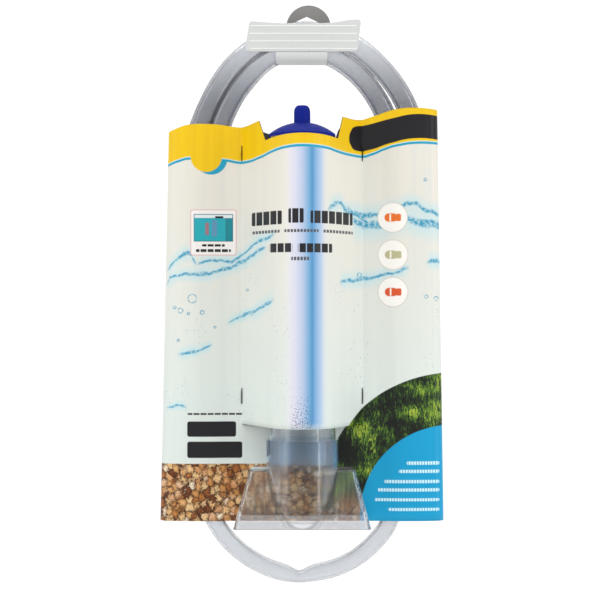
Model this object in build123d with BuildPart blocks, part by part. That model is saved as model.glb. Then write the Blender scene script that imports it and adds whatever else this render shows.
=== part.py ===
"""Gravel vacuum siphon on its shop hanger: rigid clear tube, self-starting cap, wide nozzle, hose and card.

Millimetres. The origin is the top of the hang hole, where the peg bears, in the middle of the hang tab.
+X is to the right seen from the front, +Y is towards the back and +Z is up.
"""

import os
from math import radians, sqrt, tan

from build123d import *

os.makedirs("parts", exist_ok=True)

# ---- Driving dimensions ----------------------------------------------------------------------------
# Siphon: a 250 mm long barrel from the inside of its cap to the foot of the nozzle's socket
siphon_x = -3.5  # the siphon's axis, a little left of the peg
siphon_y = -43.5
tube_radius = 24.85
tube_wall = 1.6
tube_top = -98.0
tube_foot = -340.0
slide_gap = 0.05  # radial clearance of each push fit

# Cap with its hose tail
dome_top = -86.8
dome_rise = 9.0
cap_radius = 24.9
cap_wall = 2.0
rim_height = 2.2
plug_length = 22.0
plug_wall = 3.2
tail_radius = 6.15
tail_bore = 3.0
tail_top = -74.2
tail_tip_height = 5.6
seal_thickness = 1.8
seal_drop = 5.0  # from the rim down to the middle of the O-ring

# Self-starting valve: a ball on a plate, in a cage
seat_thickness = 5.5
seat_hole_radius = 7.0
guard_bar = 1.4
guard_pitch = 4.2
ball_radius = 9.0
ball_lift = 6.0
ball_gap = 0.1
cage_wall = 1.4
cage_gap = 0.6
cage_flange_radius = 16.0
cage_flange_height = 1.5
cage_window = 9.0
cage_bar = 2.2

# Nozzle: a socket and neck that run into a wide wedge with an open foot
nozzle_wall = 1.8
socket_radius = 27.1
socket_top = -322.9
ledge_height = 2.0
ledge_inset = 1.5
shoulder_z = -344.5
mouth_z = -386.6
shoulder_half_width = 39.2
shoulder_half_depth = 10.5
mouth_half_width = 50.4
mouth_half_depth = 27.4
wedge_corner = 4.0
shoulder_fillet = 3.0
foot_gap = 0.1  # between the tube's foot and the ledge it stops at

# Hose
hose_radius = 6.8
hose_bore = 5.2
hose_y = -7.8

# Hang tab, strap and flap, moulded in thin clear plastic
strap_thickness = 0.9
strap_gap = 0.4  # between the strap and the hose
strap_width = 39.4
strap_x = -3.9
tab_x = 1.5
tab_radius = 17.3
tab_z = -8.5
bend_z = -30.5  # middle of the bend under the hose
hinge_z = -29.6
rib_height = 0.6
rib_width = 1.2
rib_length = 76.0
rib_x = -2.8
rib_levels = (-9.0, -13.8, -19.8, -26.2)
flap_corner = 2.2
tab_corner = 0.8
hole_corner = 1.6
hole_half_width = 9.5
hole_shoulder = -4.4
hole_foot = -10.5

# Card sleeve
board = 0.6
card_top = -72.0
card_foot = -388.0
slit_z = -313.8
band_half_width = 46.0  # the band over the tube starts this far from the siphon's axis
band_gap = 0.5
relief_slot = (0.8, 12.0)
relief_levels = (-107.3, -292.6)
cut_depth = 120.0  # deeper than the whole sleeve


def left_edge(z):
    """The sleeve's left fold, which leans out towards the foot."""
    return -105.4 - 6.7 * (card_top - z) / (card_top - card_foot)


def right_edge(z):
    """The sleeve's right fold."""
    return 100.2 + 4.8 * (card_top - z) / (card_top - card_foot)


# ---- Worked-out levels -----------------------------------------------------------------------------
tube_bore = tube_radius - tube_wall
dome_foot = dome_top - dome_rise
rim_foot = dome_foot - rim_height
plug_foot = rim_foot - plug_length
plug_radius = tube_bore - slide_gap
plug_bore = plug_radius - plug_wall
seat_top = plug_foot + seat_thickness
cage_bore = ball_radius + cage_gap
ledge_z = tube_foot - foot_gap
ball_z = seat_top + sqrt(ball_radius**2 - seat_hole_radius**2) + ball_gap
cage_top = ball_z + ball_radius + ball_lift + ball_gap
card_front_y = hose_y - hose_radius - strap_gap - board / 2
card_back_y = hose_y + hose_radius + strap_gap + board / 2
fold_radius = (card_back_y - card_front_y) / 2
bend_radius = hose_radius + strap_gap + strap_thickness / 2
strap_front_y = hose_y - hose_radius - strap_gap
hinge_y = strap_front_y - strap_thickness

# The siphon's pieces are turned or drawn about its own axis
axis_plane = Plane(origin=(siphon_x, siphon_y, 0), x_dir=(1, 0, 0), z_dir=(0, -1, 0))
siphon_axis = Axis((siphon_x, siphon_y, 0), (0, 0, 1))


def level(z):
    """The horizontal plane at height z, centred on the siphon's axis."""
    return Plane(origin=(siphon_x, siphon_y, z), x_dir=(1, 0, 0), z_dir=(0, 0, 1))


# ---- Hang tab: disc, strap down behind the hose and bend under it ------------------------------------
with BuildPart() as hang_tab:
    with BuildSketch(Plane.XZ.offset(-strap_thickness / 2)) as tab_outline:
        with Locations((tab_x, tab_z)):
            Circle(tab_radius)
        with Locations((strap_x, (tab_z + bend_z) / 2)):
            Rectangle(strap_width, tab_z - bend_z)
        shoulders = tab_outline.vertices().filter_by(lambda v: v.Y > tab_z - 0.1 and abs(v.X) > strap_width / 4)
        fillet(shoulders, radius=tab_corner)
        with BuildLine():
            Polyline(
                (0, 0), (-hole_half_width, hole_shoulder), (-hole_half_width, hole_foot),
                (hole_half_width, hole_foot), (hole_half_width, hole_shoulder), close=True,
            )  # fmt: skip
        make_face(mode=Mode.SUBTRACT)
    extrude(amount=strap_thickness)
    upright_edges = hang_tab.edges().filter_by(Axis.Y)
    hole_edges = upright_edges.filter_by(lambda e: hole_foot - 0.5 < e.center().Z < hole_shoulder + 0.5)
    fillet(hole_edges, radius=hole_corner)
    bend_plane = Plane(origin=(strap_x, 0, 0), x_dir=(0, 1, 0), z_dir=(1, 0, 0))
    with BuildSketch(bend_plane):
        with BuildLine():
            FilletPolyline(
                (0, bend_z), (0, bend_z - bend_radius),
                (2 * hose_y, bend_z - bend_radius), (2 * hose_y, hinge_z),
                radius=bend_radius - 0.01,
            )  # fmt: skip
        trace(line_width=strap_thickness)
    extrude(amount=strap_width / 2, both=True)
hang_tab.part.label = "hang_tab"
export_step(hang_tab.part, "parts/hang_tab.step")

# ---- Hanger flap: ribbed band in front of the hose, on a living hinge --------------------------------
flap_top = [(-44.1, -6.1), (-26, -7.2), (-5, -7.3), (18, -6.6), (41.5, -4.9)]
flap_foot = [(39.2, -29.3), (-47.1, -29.3)]

with BuildPart() as hanger_flap:
    with BuildSketch(Plane.XZ.offset(-strap_front_y)):
        with BuildLine():
            Spline(flap_top)
            Polyline(flap_top[-1], *flap_foot, flap_top[0])
        make_face()
    extrude(amount=strap_thickness)
    fillet(hanger_flap.edges().filter_by(Axis.Y), radius=flap_corner)
    with BuildSketch(Plane.XZ.offset(-hinge_y)):
        for rib_z in rib_levels:
            with Locations((rib_x, rib_z)):
                SlotOverall(rib_length, rib_width)
    extrude(amount=rib_height)
hanger_flap.part.label = "hanger_flap"
export_step(hanger_flap.part, "parts/hanger_flap.step")

# ---- Hose: one and a half turns, from the inner end on the left to the outer end on the right ---------
hose_route = [
    (-61.5, -368.0), (-69.0, -335.0), (-75.2, -296.0), (-78.2, -251.0), (-78.6, -206.0),
    (-76.8, -163.0), (-72.6, -121.0), (-66.0, -86.0), (-55.2, -62.4), (-45.2, -48.0),
    (-36.0, -38.0), (-26.0, -31.2), (-15.0, -28.0), (-3.5, -27.2), (8.0, -28.0),
    (19.0, -31.3), (29.4, -37.6), (39.0, -46.6), (48.2, -57.8), (56.8, -72.2),
    (63.6, -90.0), (69.0, -114.0), (72.8, -147.0), (75.0, -188.0), (75.8, -233.0),
    (75.4, -279.0), (73.9, -323.0), (70.6, -361.0), (64.8, -389.0), (55.0, -402.8),
    (43.6, -413.6), (31.8, -421.2), (20.0, -426.0), (7.0, -428.6), (-5.8, -432.6),
    (-17.4, -428.8), (-29.0, -425.4), (-41.0, -419.4), (-53.4, -410.8), (-64.8, -398.8),
    (-75.0, -381.0), (-83.8, -357.0), (-91.2, -323.0), (-96.2, -281.0), (-97.8, -232.0),
    (-97.4, -182.0), (-94.2, -134.0), (-87.8, -96.0), (-79.0, -72.4), (-68.6, -53.0),
    (-56.0, -38.0), (-41.6, -26.2), (-26.2, -17.8), (-10.4, -13.4), (5.6, -13.0),
    (21.4, -16.2), (36.8, -22.8), (51.2, -33.2), (64.8, -47.0), (75.6, -63.2),
    (83.6, -82.6), (88.8, -110.0), (91.2, -146.0), (91.8, -188.0), (91.6, -232.0),
    (91.2, -276.0), (89.9, -318.0), (87.0, -356.0),
]  # fmt: skip


run_share = 0.45  # of the shorter run, taken up by a corner's arc


def corner_radii(points):
    """Each corner's arc: as large as its two runs allow."""
    radii = []
    for before, at, after in zip(points, points[1:], points[2:]):
        arriving, leaving = Vector(*at) - Vector(*before), Vector(*after) - Vector(*at)
        shorter = min(arriving.length, leaving.length)
        radii.append(run_share * shorter / tan(radians(arriving.get_angle(leaving)) / 2))
    return radii


hose_radii = corner_radii(hose_route)
hose_start = hose_route[0]
hose_heading = Vector(hose_route[1][0] - hose_start[0], 0, hose_route[1][1] - hose_start[1])
with BuildPart() as hose:
    with BuildLine(Plane.XZ.offset(-hose_y)) as hose_path:
        FilletPolyline(*hose_route, radius=hose_radii)
    hose_end_plane = Plane(origin=(hose_start[0], hose_y, hose_start[1]), z_dir=hose_heading)
    with BuildSketch(hose_end_plane) as hose_section:
        Circle(hose_radius)
        Circle(hose_bore, mode=Mode.SUBTRACT)
    sweep(path=hose_path.line)
hose.part.label = "hose"
export_step(hose.part, "parts/hose.step")
hose_length = sum(edge.length for edge in hose_path.edges())
hose_volume = hose_section.sketch.area * hose_length
print("hose radii", [round(radius) for radius in hose_radii])
print("hose length", round(hose_length), "volume", round(hose.part.volume), "of", round(hose_volume))


# ---- Card sleeve: front panel, band round the tube and back panel ------------------------------
def band_touch():
    """Radius of the band's round part and where the band meets it, beside the siphon's axis."""
    radius = tube_radius + band_gap + board / 2
    depth = card_front_y - siphon_y
    reach = sqrt(band_half_width**2 + depth**2)
    along = radius**2 / reach
    across = radius * sqrt(1 - (radius / reach) ** 2)
    unit_x, unit_y = band_half_width / reach, depth / reach
    return radius, along * unit_x + across * unit_y, along * unit_y - across * unit_x


def panel_section(z, panel_y, with_band=False):
    """The board's section at height z, from one side fold to the other."""
    turn = 90 if panel_y < hose_y else -90
    left, right = left_edge(z) + fold_radius, right_edge(z) - fold_radius
    with BuildSketch(Plane.XY.offset(z)) as section:
        with BuildLine():
            CenterArc((left, hose_y), fold_radius, 180, turn)
            if with_band:
                radius, touch_x, touch_y = band_touch()
                foot_left, foot_right = siphon_x - band_half_width, siphon_x + band_half_width
                meet_left = (siphon_x - touch_x, siphon_y + touch_y)
                meet_right = (siphon_x + touch_x, siphon_y + touch_y)
                Polyline((left, panel_y), (foot_left, panel_y), meet_left)
                ThreePointArc(meet_left, (siphon_x, siphon_y - radius), meet_right)
                Polyline(meet_right, (foot_right, panel_y), (right, panel_y))
            else:
                Line((left, panel_y), (right, panel_y))
            CenterArc((right, hose_y), fold_radius, -turn, turn)
        trace(line_width=board)
    return section.sketch


def waste_above(outline):
    """What is trimmed off above a panel's die-cut top edge, drawn from left to right."""
    (first_x, _), (last_x, _) = outline[0], outline[-1]
    with BuildSketch(Plane.XZ) as waste:
        with BuildLine():
            Polyline(*outline, (last_x, card_top + 5), (first_x, card_top + 5), close=True)
        make_face()
    return waste.sketch


front_top_edge = [
    (-120, -95.0), (-104.8, -90.2), (-90.2, -85.3), (-69.1, -85.1), (-49.4, -87.4), (-35.9, -85.0),
    (-30.9, -100.5), (-17.5, -98.0), (-4.0, -97.1), (9.5, -97.6), (23.2, -99.3), (27.0, -82.4),
    (38.8, -82.4), (52.2, -78.4), (66.0, -74.0), (81.3, -72.3), (110, -74.4),
]  # fmt: skip
back_top_edge = [
    (-120, -95.0), (-104.8, -90.2), (-37, -88.6), (-28, -91.0),
    (-25, -101), (20, -101), (25, -86), (110, -76),
]  # fmt: skip
band_end_plane = Plane.XZ.offset(-siphon_y - band_touch()[2])  # through both ends of the band's round part

with BuildPart() as front_board:
    for top, foot, with_band in ((card_top, slit_z, True), (slit_z, card_foot, False)):
        loft([panel_section(z, card_front_y, with_band) for z in (foot, top)], ruled=True)
    extrude(waste_above(front_top_edge), amount=cut_depth, both=True, mode=Mode.SUBTRACT)
    with BuildSketch(Plane.XZ):
        for slot_z in relief_levels:
            for side in (-1, 1):
                with Locations((siphon_x + side * band_half_width, slot_z)):
                    Rectangle(*relief_slot)
    extrude(amount=cut_depth, both=True, mode=Mode.SUBTRACT)

with BuildPart() as card_front:
    add(front_board.part)
    split(bisect_by=band_end_plane, keep=Keep.BOTTOM)
card_front.part.label = "card_front"
export_step(card_front.part, "parts/card_front.step")

with BuildPart() as card_band:
    add(front_board.part)
    split(bisect_by=band_end_plane, keep=Keep.TOP)
card_band.part.label = "card_band"
export_step(card_band.part, "parts/card_band.step")

with BuildPart() as card_back:
    loft([panel_section(z, card_back_y) for z in (card_foot, card_top)], ruled=True)
    extrude(waste_above(back_top_edge), amount=cut_depth, both=True, mode=Mode.SUBTRACT)
card_back.part.label = "card_back"
export_step(card_back.part, "parts/card_back.step")


# ---- Gravel tube -----------------------------------------------------------------------------------
with BuildPart() as gravel_tube:
    with BuildSketch(level(tube_foot)):
        Circle(tube_radius)
        Circle(tube_bore, mode=Mode.SUBTRACT)
    extrude(amount=tube_top - tube_foot)
gravel_tube.part.label = "gravel_tube"
export_step(gravel_tube.part, "parts/gravel_tube.step")

# ---- Cap: dome, rim and plug turned round the axis, with the hose tail on top --------------------------
dome_curve = (cap_radius**2 + dome_rise**2) / (2 * dome_rise)
groove_z = rim_foot - seal_drop


def dome_drop(radius, curve):
    """How far the dome falls from its top at a radius."""
    return curve - sqrt(curve**2 - radius**2)


with BuildPart() as cap:
    inner_top = dome_top - cap_wall
    inner_curve = dome_curve - cap_wall
    inner_start = (tail_bore, inner_top - dome_drop(tail_bore, inner_curve))
    inner_middle = (plug_bore / 2, inner_top - dome_drop(plug_bore / 2, inner_curve))
    inner_end = (plug_bore, inner_top - dome_drop(plug_bore, inner_curve))
    groove_top, groove_foot = groove_z + seal_thickness / 2, groove_z - seal_thickness / 2
    outer_middle = (cap_radius / 2, dome_top - dome_drop(cap_radius / 2, dome_curve))
    tail_foot = (tail_radius, dome_top - dome_drop(tail_radius, dome_curve))
    tip_centre = (tail_bore, tail_top - tail_tip_height)
    with BuildSketch(axis_plane):
        with BuildLine():
            Line((tail_bore, tail_top), inner_start)
            ThreePointArc(inner_start, inner_middle, inner_end)
            Polyline(
                inner_end, (plug_bore, plug_foot), (plug_radius, plug_foot), (plug_radius, groove_foot),
                (plug_radius - seal_thickness, groove_foot), (plug_radius - seal_thickness, groove_top),
                (plug_radius, groove_top), (plug_radius, rim_foot), (cap_radius, rim_foot),
                (cap_radius, dome_foot),
            )  # fmt: skip
            ThreePointArc((cap_radius, dome_foot), outer_middle, tail_foot)
            Line(tail_foot, (tail_radius, tail_top - tail_tip_height))
            tip_width = tail_radius - tail_bore
            EllipticalCenterArc(tip_centre, tip_width, tail_tip_height, start_angle=0, arc_size=90)
        make_face()
    revolve(axis=siphon_axis)
cap.part.label = "cap"
export_step(cap.part, "parts/cap.step")

# ---- Cap seal: O-ring in the plug's groove ---------------------------------------------------------------
with BuildPart() as cap_seal:
    with BuildSketch(axis_plane):
        with Locations((plug_radius - seal_thickness / 2, groove_z)):
            Circle(seal_thickness / 2)
    revolve(axis=siphon_axis)
cap_seal.part.label = "cap_seal"
export_step(cap_seal.part, "parts/cap_seal.step")

# ---- Self-starting valve: seat plate with a gravel guard, ball and cage ------------------------------------
with BuildPart() as valve_seat:
    with BuildSketch(level(plug_foot)):
        Circle(plug_bore - slide_gap)
        Circle(seat_hole_radius, mode=Mode.SUBTRACT)
    extrude(amount=seat_thickness)
    with BuildSketch(level(plug_foot)):
        with GridLocations(guard_pitch, 0, 3, 1):
            Rectangle(guard_bar, 2 * seat_hole_radius + 1)
    extrude(amount=guard_bar)
valve_seat.part.label = "valve_seat"
export_step(valve_seat.part, "parts/valve_seat.step")

with BuildPart(level(ball_z)) as valve_ball:
    Sphere(ball_radius)
valve_ball.part.label = "valve_ball"
export_step(valve_ball.part, "parts/valve_ball.step")

with BuildPart() as ball_cage:
    with BuildSketch(level(seat_top)):
        Circle(cage_bore + cage_wall)
        Circle(cage_bore, mode=Mode.SUBTRACT)
    extrude(amount=cage_top - seat_top)
    with BuildSketch(level(seat_top + cage_flange_height)):
        with PolarLocations(cage_bore + cage_wall / 2, 4):
            Rectangle(3 * cage_wall, cage_window)
    extrude(amount=cage_top - seat_top - cage_flange_height - cage_bar, mode=Mode.SUBTRACT)
    with BuildSketch(level(seat_top)):
        Circle(cage_flange_radius)
        Circle(cage_bore, mode=Mode.SUBTRACT)
    extrude(amount=cage_flange_height)
    with BuildSketch(level(cage_top)):
        Circle(cage_bore + cage_wall)
    extrude(amount=cage_bar)
    with BuildSketch(level(cage_top)):
        Circle(cage_bore)
        Rectangle(cage_bar, 3 * cage_bore, mode=Mode.SUBTRACT)
        Rectangle(3 * cage_bore, cage_bar, mode=Mode.SUBTRACT)
    extrude(amount=cage_bar, mode=Mode.SUBTRACT)
ball_cage.part.label = "ball_cage"
export_step(ball_cage.part, "parts/ball_cage.step")


# ---- Nozzle: socket, neck and wedge, one thin wall all through ----------------------------------------------
def wedge(inset, top):
    """The wedge from height top down to the mouth, with its walls moved in by inset."""
    sections = []
    for z in (mouth_z, top):
        share = (shoulder_z - z) / (shoulder_z - mouth_z)
        half_width = shoulder_half_width + share * (mouth_half_width - shoulder_half_width) - inset
        half_depth = shoulder_half_depth + share * (mouth_half_depth - shoulder_half_depth) - inset
        with BuildSketch(level(z)) as section:
            RectangleRounded(2 * half_width, 2 * half_depth, wedge_corner - inset)
        sections.append(section.sketch)
    return loft(sections, ruled=True, mode=Mode.PRIVATE)


with BuildPart() as nozzle:
    add(wedge(0, shoulder_z))
    fillet(nozzle.faces().sort_by(Axis.Z)[-1].edges(), radius=shoulder_fillet)
    with BuildSketch(level(mouth_z)):
        Circle(socket_radius)
    extrude(amount=socket_top - mouth_z)
    add(wedge(nozzle_wall, shoulder_z - nozzle_wall), mode=Mode.SUBTRACT)
    with BuildSketch(level(mouth_z)):
        Circle(socket_radius - nozzle_wall)
    extrude(amount=ledge_z - ledge_height - mouth_z, mode=Mode.SUBTRACT)
    with BuildSketch(level(mouth_z)):
        Circle(tube_radius + slide_gap - ledge_inset)
    extrude(amount=socket_top - mouth_z, mode=Mode.SUBTRACT)
    with BuildSketch(level(ledge_z)):
        Circle(tube_radius + slide_gap)
    extrude(amount=socket_top - ledge_z, mode=Mode.SUBTRACT)
nozzle.part.label = "nozzle"
export_step(nozzle.part, "parts/nozzle.step")
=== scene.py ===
"""Looks of a gravel vacuum siphon in its shop pack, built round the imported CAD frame.

The barrel, cap, nozzle, valve and hang tab keep the CAD's shapes with polished meshes. The printed sleeve,
the ribbed hanger flap and the soft hose are modelled here. Lengths in the settings are in metres. The hose's
route and the drawings of the sleeve's cut and print are in millimetres, and are scaled where they are used.
"""

import math

import bmesh
import bpy
from bpy.props import FloatProperty, FloatVectorProperty, IntProperty, PointerProperty
from bpy.types import Operator, Panel, PropertyGroup
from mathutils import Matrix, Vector


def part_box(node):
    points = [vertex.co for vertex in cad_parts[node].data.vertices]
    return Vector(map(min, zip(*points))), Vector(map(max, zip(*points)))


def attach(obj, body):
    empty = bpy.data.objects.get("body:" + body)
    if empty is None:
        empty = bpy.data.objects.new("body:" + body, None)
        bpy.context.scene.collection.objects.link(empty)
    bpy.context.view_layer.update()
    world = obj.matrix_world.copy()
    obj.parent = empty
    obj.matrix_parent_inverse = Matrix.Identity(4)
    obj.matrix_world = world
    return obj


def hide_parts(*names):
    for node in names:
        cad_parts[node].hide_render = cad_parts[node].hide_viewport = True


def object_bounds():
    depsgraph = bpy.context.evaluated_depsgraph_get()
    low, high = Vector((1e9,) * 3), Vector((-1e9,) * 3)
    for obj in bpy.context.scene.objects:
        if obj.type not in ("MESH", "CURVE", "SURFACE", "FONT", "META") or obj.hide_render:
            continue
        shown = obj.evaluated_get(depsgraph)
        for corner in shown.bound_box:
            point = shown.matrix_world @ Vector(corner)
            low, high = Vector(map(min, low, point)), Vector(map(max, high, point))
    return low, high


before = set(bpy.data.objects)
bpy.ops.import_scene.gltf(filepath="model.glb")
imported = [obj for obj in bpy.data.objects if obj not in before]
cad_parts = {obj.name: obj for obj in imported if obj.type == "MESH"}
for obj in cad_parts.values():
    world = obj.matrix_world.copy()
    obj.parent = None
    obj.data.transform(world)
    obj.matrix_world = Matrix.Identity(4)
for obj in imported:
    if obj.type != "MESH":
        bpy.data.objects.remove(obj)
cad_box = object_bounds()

bl_info = {
    "name": "Gravel vacuum siphon",
    "version": (1, 0, 0),
    "blender": (4, 5, 0),
    "location": "3D View > Sidebar > Siphon",
    "description": "Builds the printed sleeve, hanger, hose and clear parts of a gravel siphon",
    "category": "Add Mesh",
}

MM = 0.001


def paint(code):
    """A linear RGBA colour from an sRGB hex value."""
    shares = [int(code[i : i + 2], 16) / 255 for i in (1, 3, 5)]
    return (*(c / 12.92 if c <= 0.04045 else ((c + 0.055) / 1.055) ** 2.4 for c in shares), 1.0)


# ---- Places taken from the frame --------------------------------------------------------------------
tube_low, tube_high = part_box("gravel_tube")
band_low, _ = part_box("card_band")
flap_low, flap_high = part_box("hanger_flap")
hose_low, hose_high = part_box("hose")

axis_x = (tube_low[0] + tube_high[0]) / 2
axis_y = (tube_low[1] + tube_high[1]) / 2
hose_y = (hose_low[1] + hose_high[1]) / 2


def length_property(name, description, default):
    """A length setting in metres."""
    return FloatProperty(name=name, description=description, default=default, unit="LENGTH", precision=5)


def colour_property(name, description, code):
    """A colour setting given as an sRGB hex value."""
    return FloatVectorProperty(
        name=name, description=description, subtype="COLOR", size=4, min=0, max=1, default=paint(code)
    )


# ---- Settings ---------------------------------------------------------------------------------------
class StageSettings(PropertyGroup):
    distance: length_property("Camera distance", "From the barrel's axis to the camera", 1.15)
    view_width: length_property("View width", "Width that the camera sees at the barrel's axis", 0.4476)
    camera_x: length_property("Camera X", "Where the camera stands, left to right", -0.0051)
    camera_z: length_property("Camera height", "Height of the level line of sight", -0.2192)
    floor_gap: length_property("Floor gap", "From the hose to the floor, clear of parts that slide off", 0.72)
    wall_gap: length_property("Wall gap", "From the hanger back to the backdrop", 2.8)
    sheet_colour: colour_property("Backdrop colour", "Pale paper of the floor and backdrop", "#fcfcfc")


class HoseSettings(PropertyGroup):
    diameter: length_property("Outside diameter", "Outside diameter of the hose", 0.0136)
    bore: length_property("Bore", "Inside diameter of the hose", 0.0104)
    length: length_property("Length", "Real length of the hose from end to end", 1.757)
    kink_reach: length_property("Kink reach", "Half length of the fold that flattens the hose", 0.009)
    kink_depth: FloatProperty(name="Kink depth", description="Share of the width lost there", default=0.3)
    steps: IntProperty(name="Steps", description="Rings between two points of the route", default=10)
    colour: colour_property("Vinyl colour", "Tint of the clear vinyl where it hangs free", "#eff1f4")
    # Painted shade: the darker vinyl colour near the sleeve's mouth
    shade_near_sleeve: colour_property("Shaded vinyl colour", "Tint where the sleeve's mouth shades it", "#b3b5bb")
    squeeze: FloatProperty(name="Squeeze", description="Share by which the sleeve widens it", default=0.2)


class SleeveSettings(PropertyGroup):
    board: length_property("Board", "Thickness of the folded board", 0.0006)
    swell: length_property("Swell", "How far the board bows out over the hose", 0.0016)
    white: colour_property("Top white", "Warm white of the upper print", "#e2ded3")
    mist: colour_property("Foot white", "Cool white of the lower print", "#dae2dc")
    yellow: colour_property("Yellow", "Band along the top edge", "#f0ca04")
    teal: colour_property("Teal", "Line under the yellow band", "#1d9bbd")
    water: colour_property("Water", "Splashes on the print", "#3d97b8")
    cyan: colour_property("Cyan", "Corner panel at the foot", "#039bcb")
    ink: colour_property("Ink", "Darkest print", "#17161a")
    # Painted shade: the inside grey is darker than the board's own grey, for the shade inside the sleeve
    inside: colour_property("Inside", "Unprinted grey side of the board", "#57534e")


class HangerSettings(PropertyGroup):
    rib_count: IntProperty(name="Ribs", description="Number of ribs along the flap", default=4)
    rib_pitch: length_property("Rib pitch", "From one rib to the next", 0.0058)
    rib_width: length_property("Rib width", "Width of a rib", 0.001)
    rib_height: length_property("Rib height", "How far a rib stands out of the flap", 0.0006)
    rib_margin: length_property("Rib margin", "From the flap's side to the end of a rib", 0.0032)
    milky: colour_property("Flap colour", "Milky translucent polypropylene", "#d0d2d0")
    # Painted highlight: the ribs get a lighter copy of the flap's polypropylene, partly for their thicker
    # milky wall
    rib_highlight: colour_property("Rib colour", "Milky polypropylene where the ribs thicken it", "#f1f1ef")
    tab: colour_property("Tab colour", "Grey tinted tab", "#8f8e8b")


class ClearSettings(PropertyGroup):
    barrel: colour_property("Barrel colour", "Clear extruded barrel", "#e9f0f5")
    nozzle: colour_property("Nozzle colour", "Clear moulded nozzle", "#e9eef2")
    # Painted shade: the socket's bluish grey stands in for the shadowed card seen through its double wall
    socket: colour_property("Socket colour", "Bluish tint of the nozzle's double-walled socket", "#a9c2dc")


class CapSettings(PropertyGroup):
    blue: colour_property("Cap blue", "Royal blue moulding", "#0d2290")
    rubber: colour_property("Seal colour", "Black seal", "#141414")
    valve: colour_property("Valve colour", "White valve parts", "#e6e6e1")


class SiphonSettings(PropertyGroup):
    stage: PointerProperty(type=StageSettings)
    hose: PointerProperty(type=HoseSettings)
    sleeve: PointerProperty(type=SleeveSettings)
    hanger: PointerProperty(type=HangerSettings)
    clear: PointerProperty(type=ClearSettings)
    cap: PointerProperty(type=CapSettings)


# ---- Small tools ------------------------------------------------------------------------------------
def put(tree, kind, inputs=None, **settings):
    """Adds a node with its settings, and links or sets its inputs."""
    node = tree.nodes.new(kind)
    for name, value in settings.items():
        setattr(node, name, value)
    for key, value in (inputs or {}).items():
        if isinstance(value, bpy.types.NodeSocket):
            tree.links.new(value, node.inputs[key])
        else:
            node.inputs[key].default_value = value
    return node


def new_material(name):
    """An empty node material and its tree."""
    material = bpy.data.materials.new(name)
    material.use_nodes = True
    material.node_tree.nodes.clear()
    return material, material.node_tree


def close_material(tree, inputs, bump=None):
    """Ends a material in a Principled shader with the given inputs."""
    if bump is not None:
        inputs = {**inputs, "Normal": bump}
    shader = put(tree, "ShaderNodeBsdfPrincipled", inputs)
    put(tree, "ShaderNodeOutputMaterial", {"Surface": shader.outputs[0]})


def place_mm(tree):
    """The surface point in millimetres, and its X and Z."""
    coordinates = put(tree, "ShaderNodeTexCoord").outputs["Object"]
    to_mm = {0: coordinates, "Scale": 1 / MM}
    scaled = put(tree, "ShaderNodeVectorMath", to_mm, operation="SCALE").outputs[0]
    parts = put(tree, "ShaderNodeSeparateXYZ", {0: scaled})
    return scaled, parts.outputs["X"], parts.outputs["Z"]


def link_object(name, data):
    """A new object at the origin, in the scene."""
    piece = bpy.data.objects.new(name, data)
    bpy.context.collection.objects.link(piece)
    return piece


def mesh_piece(name, vertices, faces, materials):
    """A smooth-shaded mesh object from vertices and faces."""
    mesh = bpy.data.meshes.new(name)
    mesh.from_pydata(vertices, [], faces)
    for material in materials:
        mesh.materials.append(material)
    mesh.shade_smooth()
    return link_object(name, mesh)


def evaluated_mesh(holder):
    """A plain mesh of what an object evaluates to."""
    bpy.context.view_layer.update()
    return bpy.data.meshes.new_from_object(holder.evaluated_get(bpy.context.evaluated_depsgraph_get()))


def polished_copy(node, name, material, crease=30, round_off=0.0):
    """A merged, smooth-shaded copy of a CAD node, which it replaces, with its creases rounded where asked."""
    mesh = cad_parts[node].data.copy()
    mesh.name = name
    shape = bmesh.new()
    shape.from_mesh(mesh)
    bmesh.ops.remove_doubles(shape, verts=shape.verts, dist=0.002 * MM)
    shape.to_mesh(mesh)
    shape.free()
    if "custom_normal" in mesh.attributes:
        mesh.attributes.remove(mesh.attributes["custom_normal"])
    mesh.materials.clear()
    mesh.materials.append(material)
    mesh.shade_smooth()
    mesh.set_sharp_from_angle(angle=math.radians(crease))
    piece = link_object(name, mesh)
    if round_off:
        soften = piece.modifiers.new("moulded_corners", "BEVEL")
        soften.width = round_off
        soften.segments = 2
        soften.limit_method = "ANGLE"
        soften.angle_limit = math.radians(crease)
    weights = piece.modifiers.new("even_shading", "WEIGHTED_NORMAL")
    weights.keep_sharp = True
    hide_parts(node)
    return piece


# ---- Masks and paint layers -------------------------------------------------------------------------
def above(tree, z, height, soft=0.25):
    """Mask of what lies above a height, which may be a drawn one."""
    over = put(tree, "ShaderNodeMath", {0: z, 1: height}, operation="SUBTRACT").outputs[0]
    return put(tree, "ShaderNodeMapRange", {"Value": over, "From Min": -soft, "From Max": soft}).outputs[0]


def below(tree, z, height, soft=0.25):
    """Mask of what lies below a height, which may be a drawn one."""
    return above(tree, height, z, soft)


def both(tree, first, second):
    """Mask where two masks overlap."""
    return put(tree, "ShaderNodeMath", {0: first, 1: second}, operation="MULTIPLY").outputs[0]


def either(tree, masks):
    """Mask of everything that any of the masks covers."""
    total = masks[0]
    for mask in masks[1:]:
        total = put(tree, "ShaderNodeMath", {0: total, 1: mask}, operation="MAXIMUM").outputs[0]
    return total


def between(tree, value, low, high, soft=0.3):
    """Mask of a strip of values."""
    return both(tree, above(tree, value, low, soft), below(tree, value, high, soft))


def disc(tree, place, centre, radius, soft=0.3):
    """Mask of a disc."""
    away = put(tree, "ShaderNodeVectorMath", {0: place, 1: (centre[0], 0, centre[1])}, operation="DISTANCE")
    return below(tree, away.outputs["Value"], radius, soft)


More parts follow.
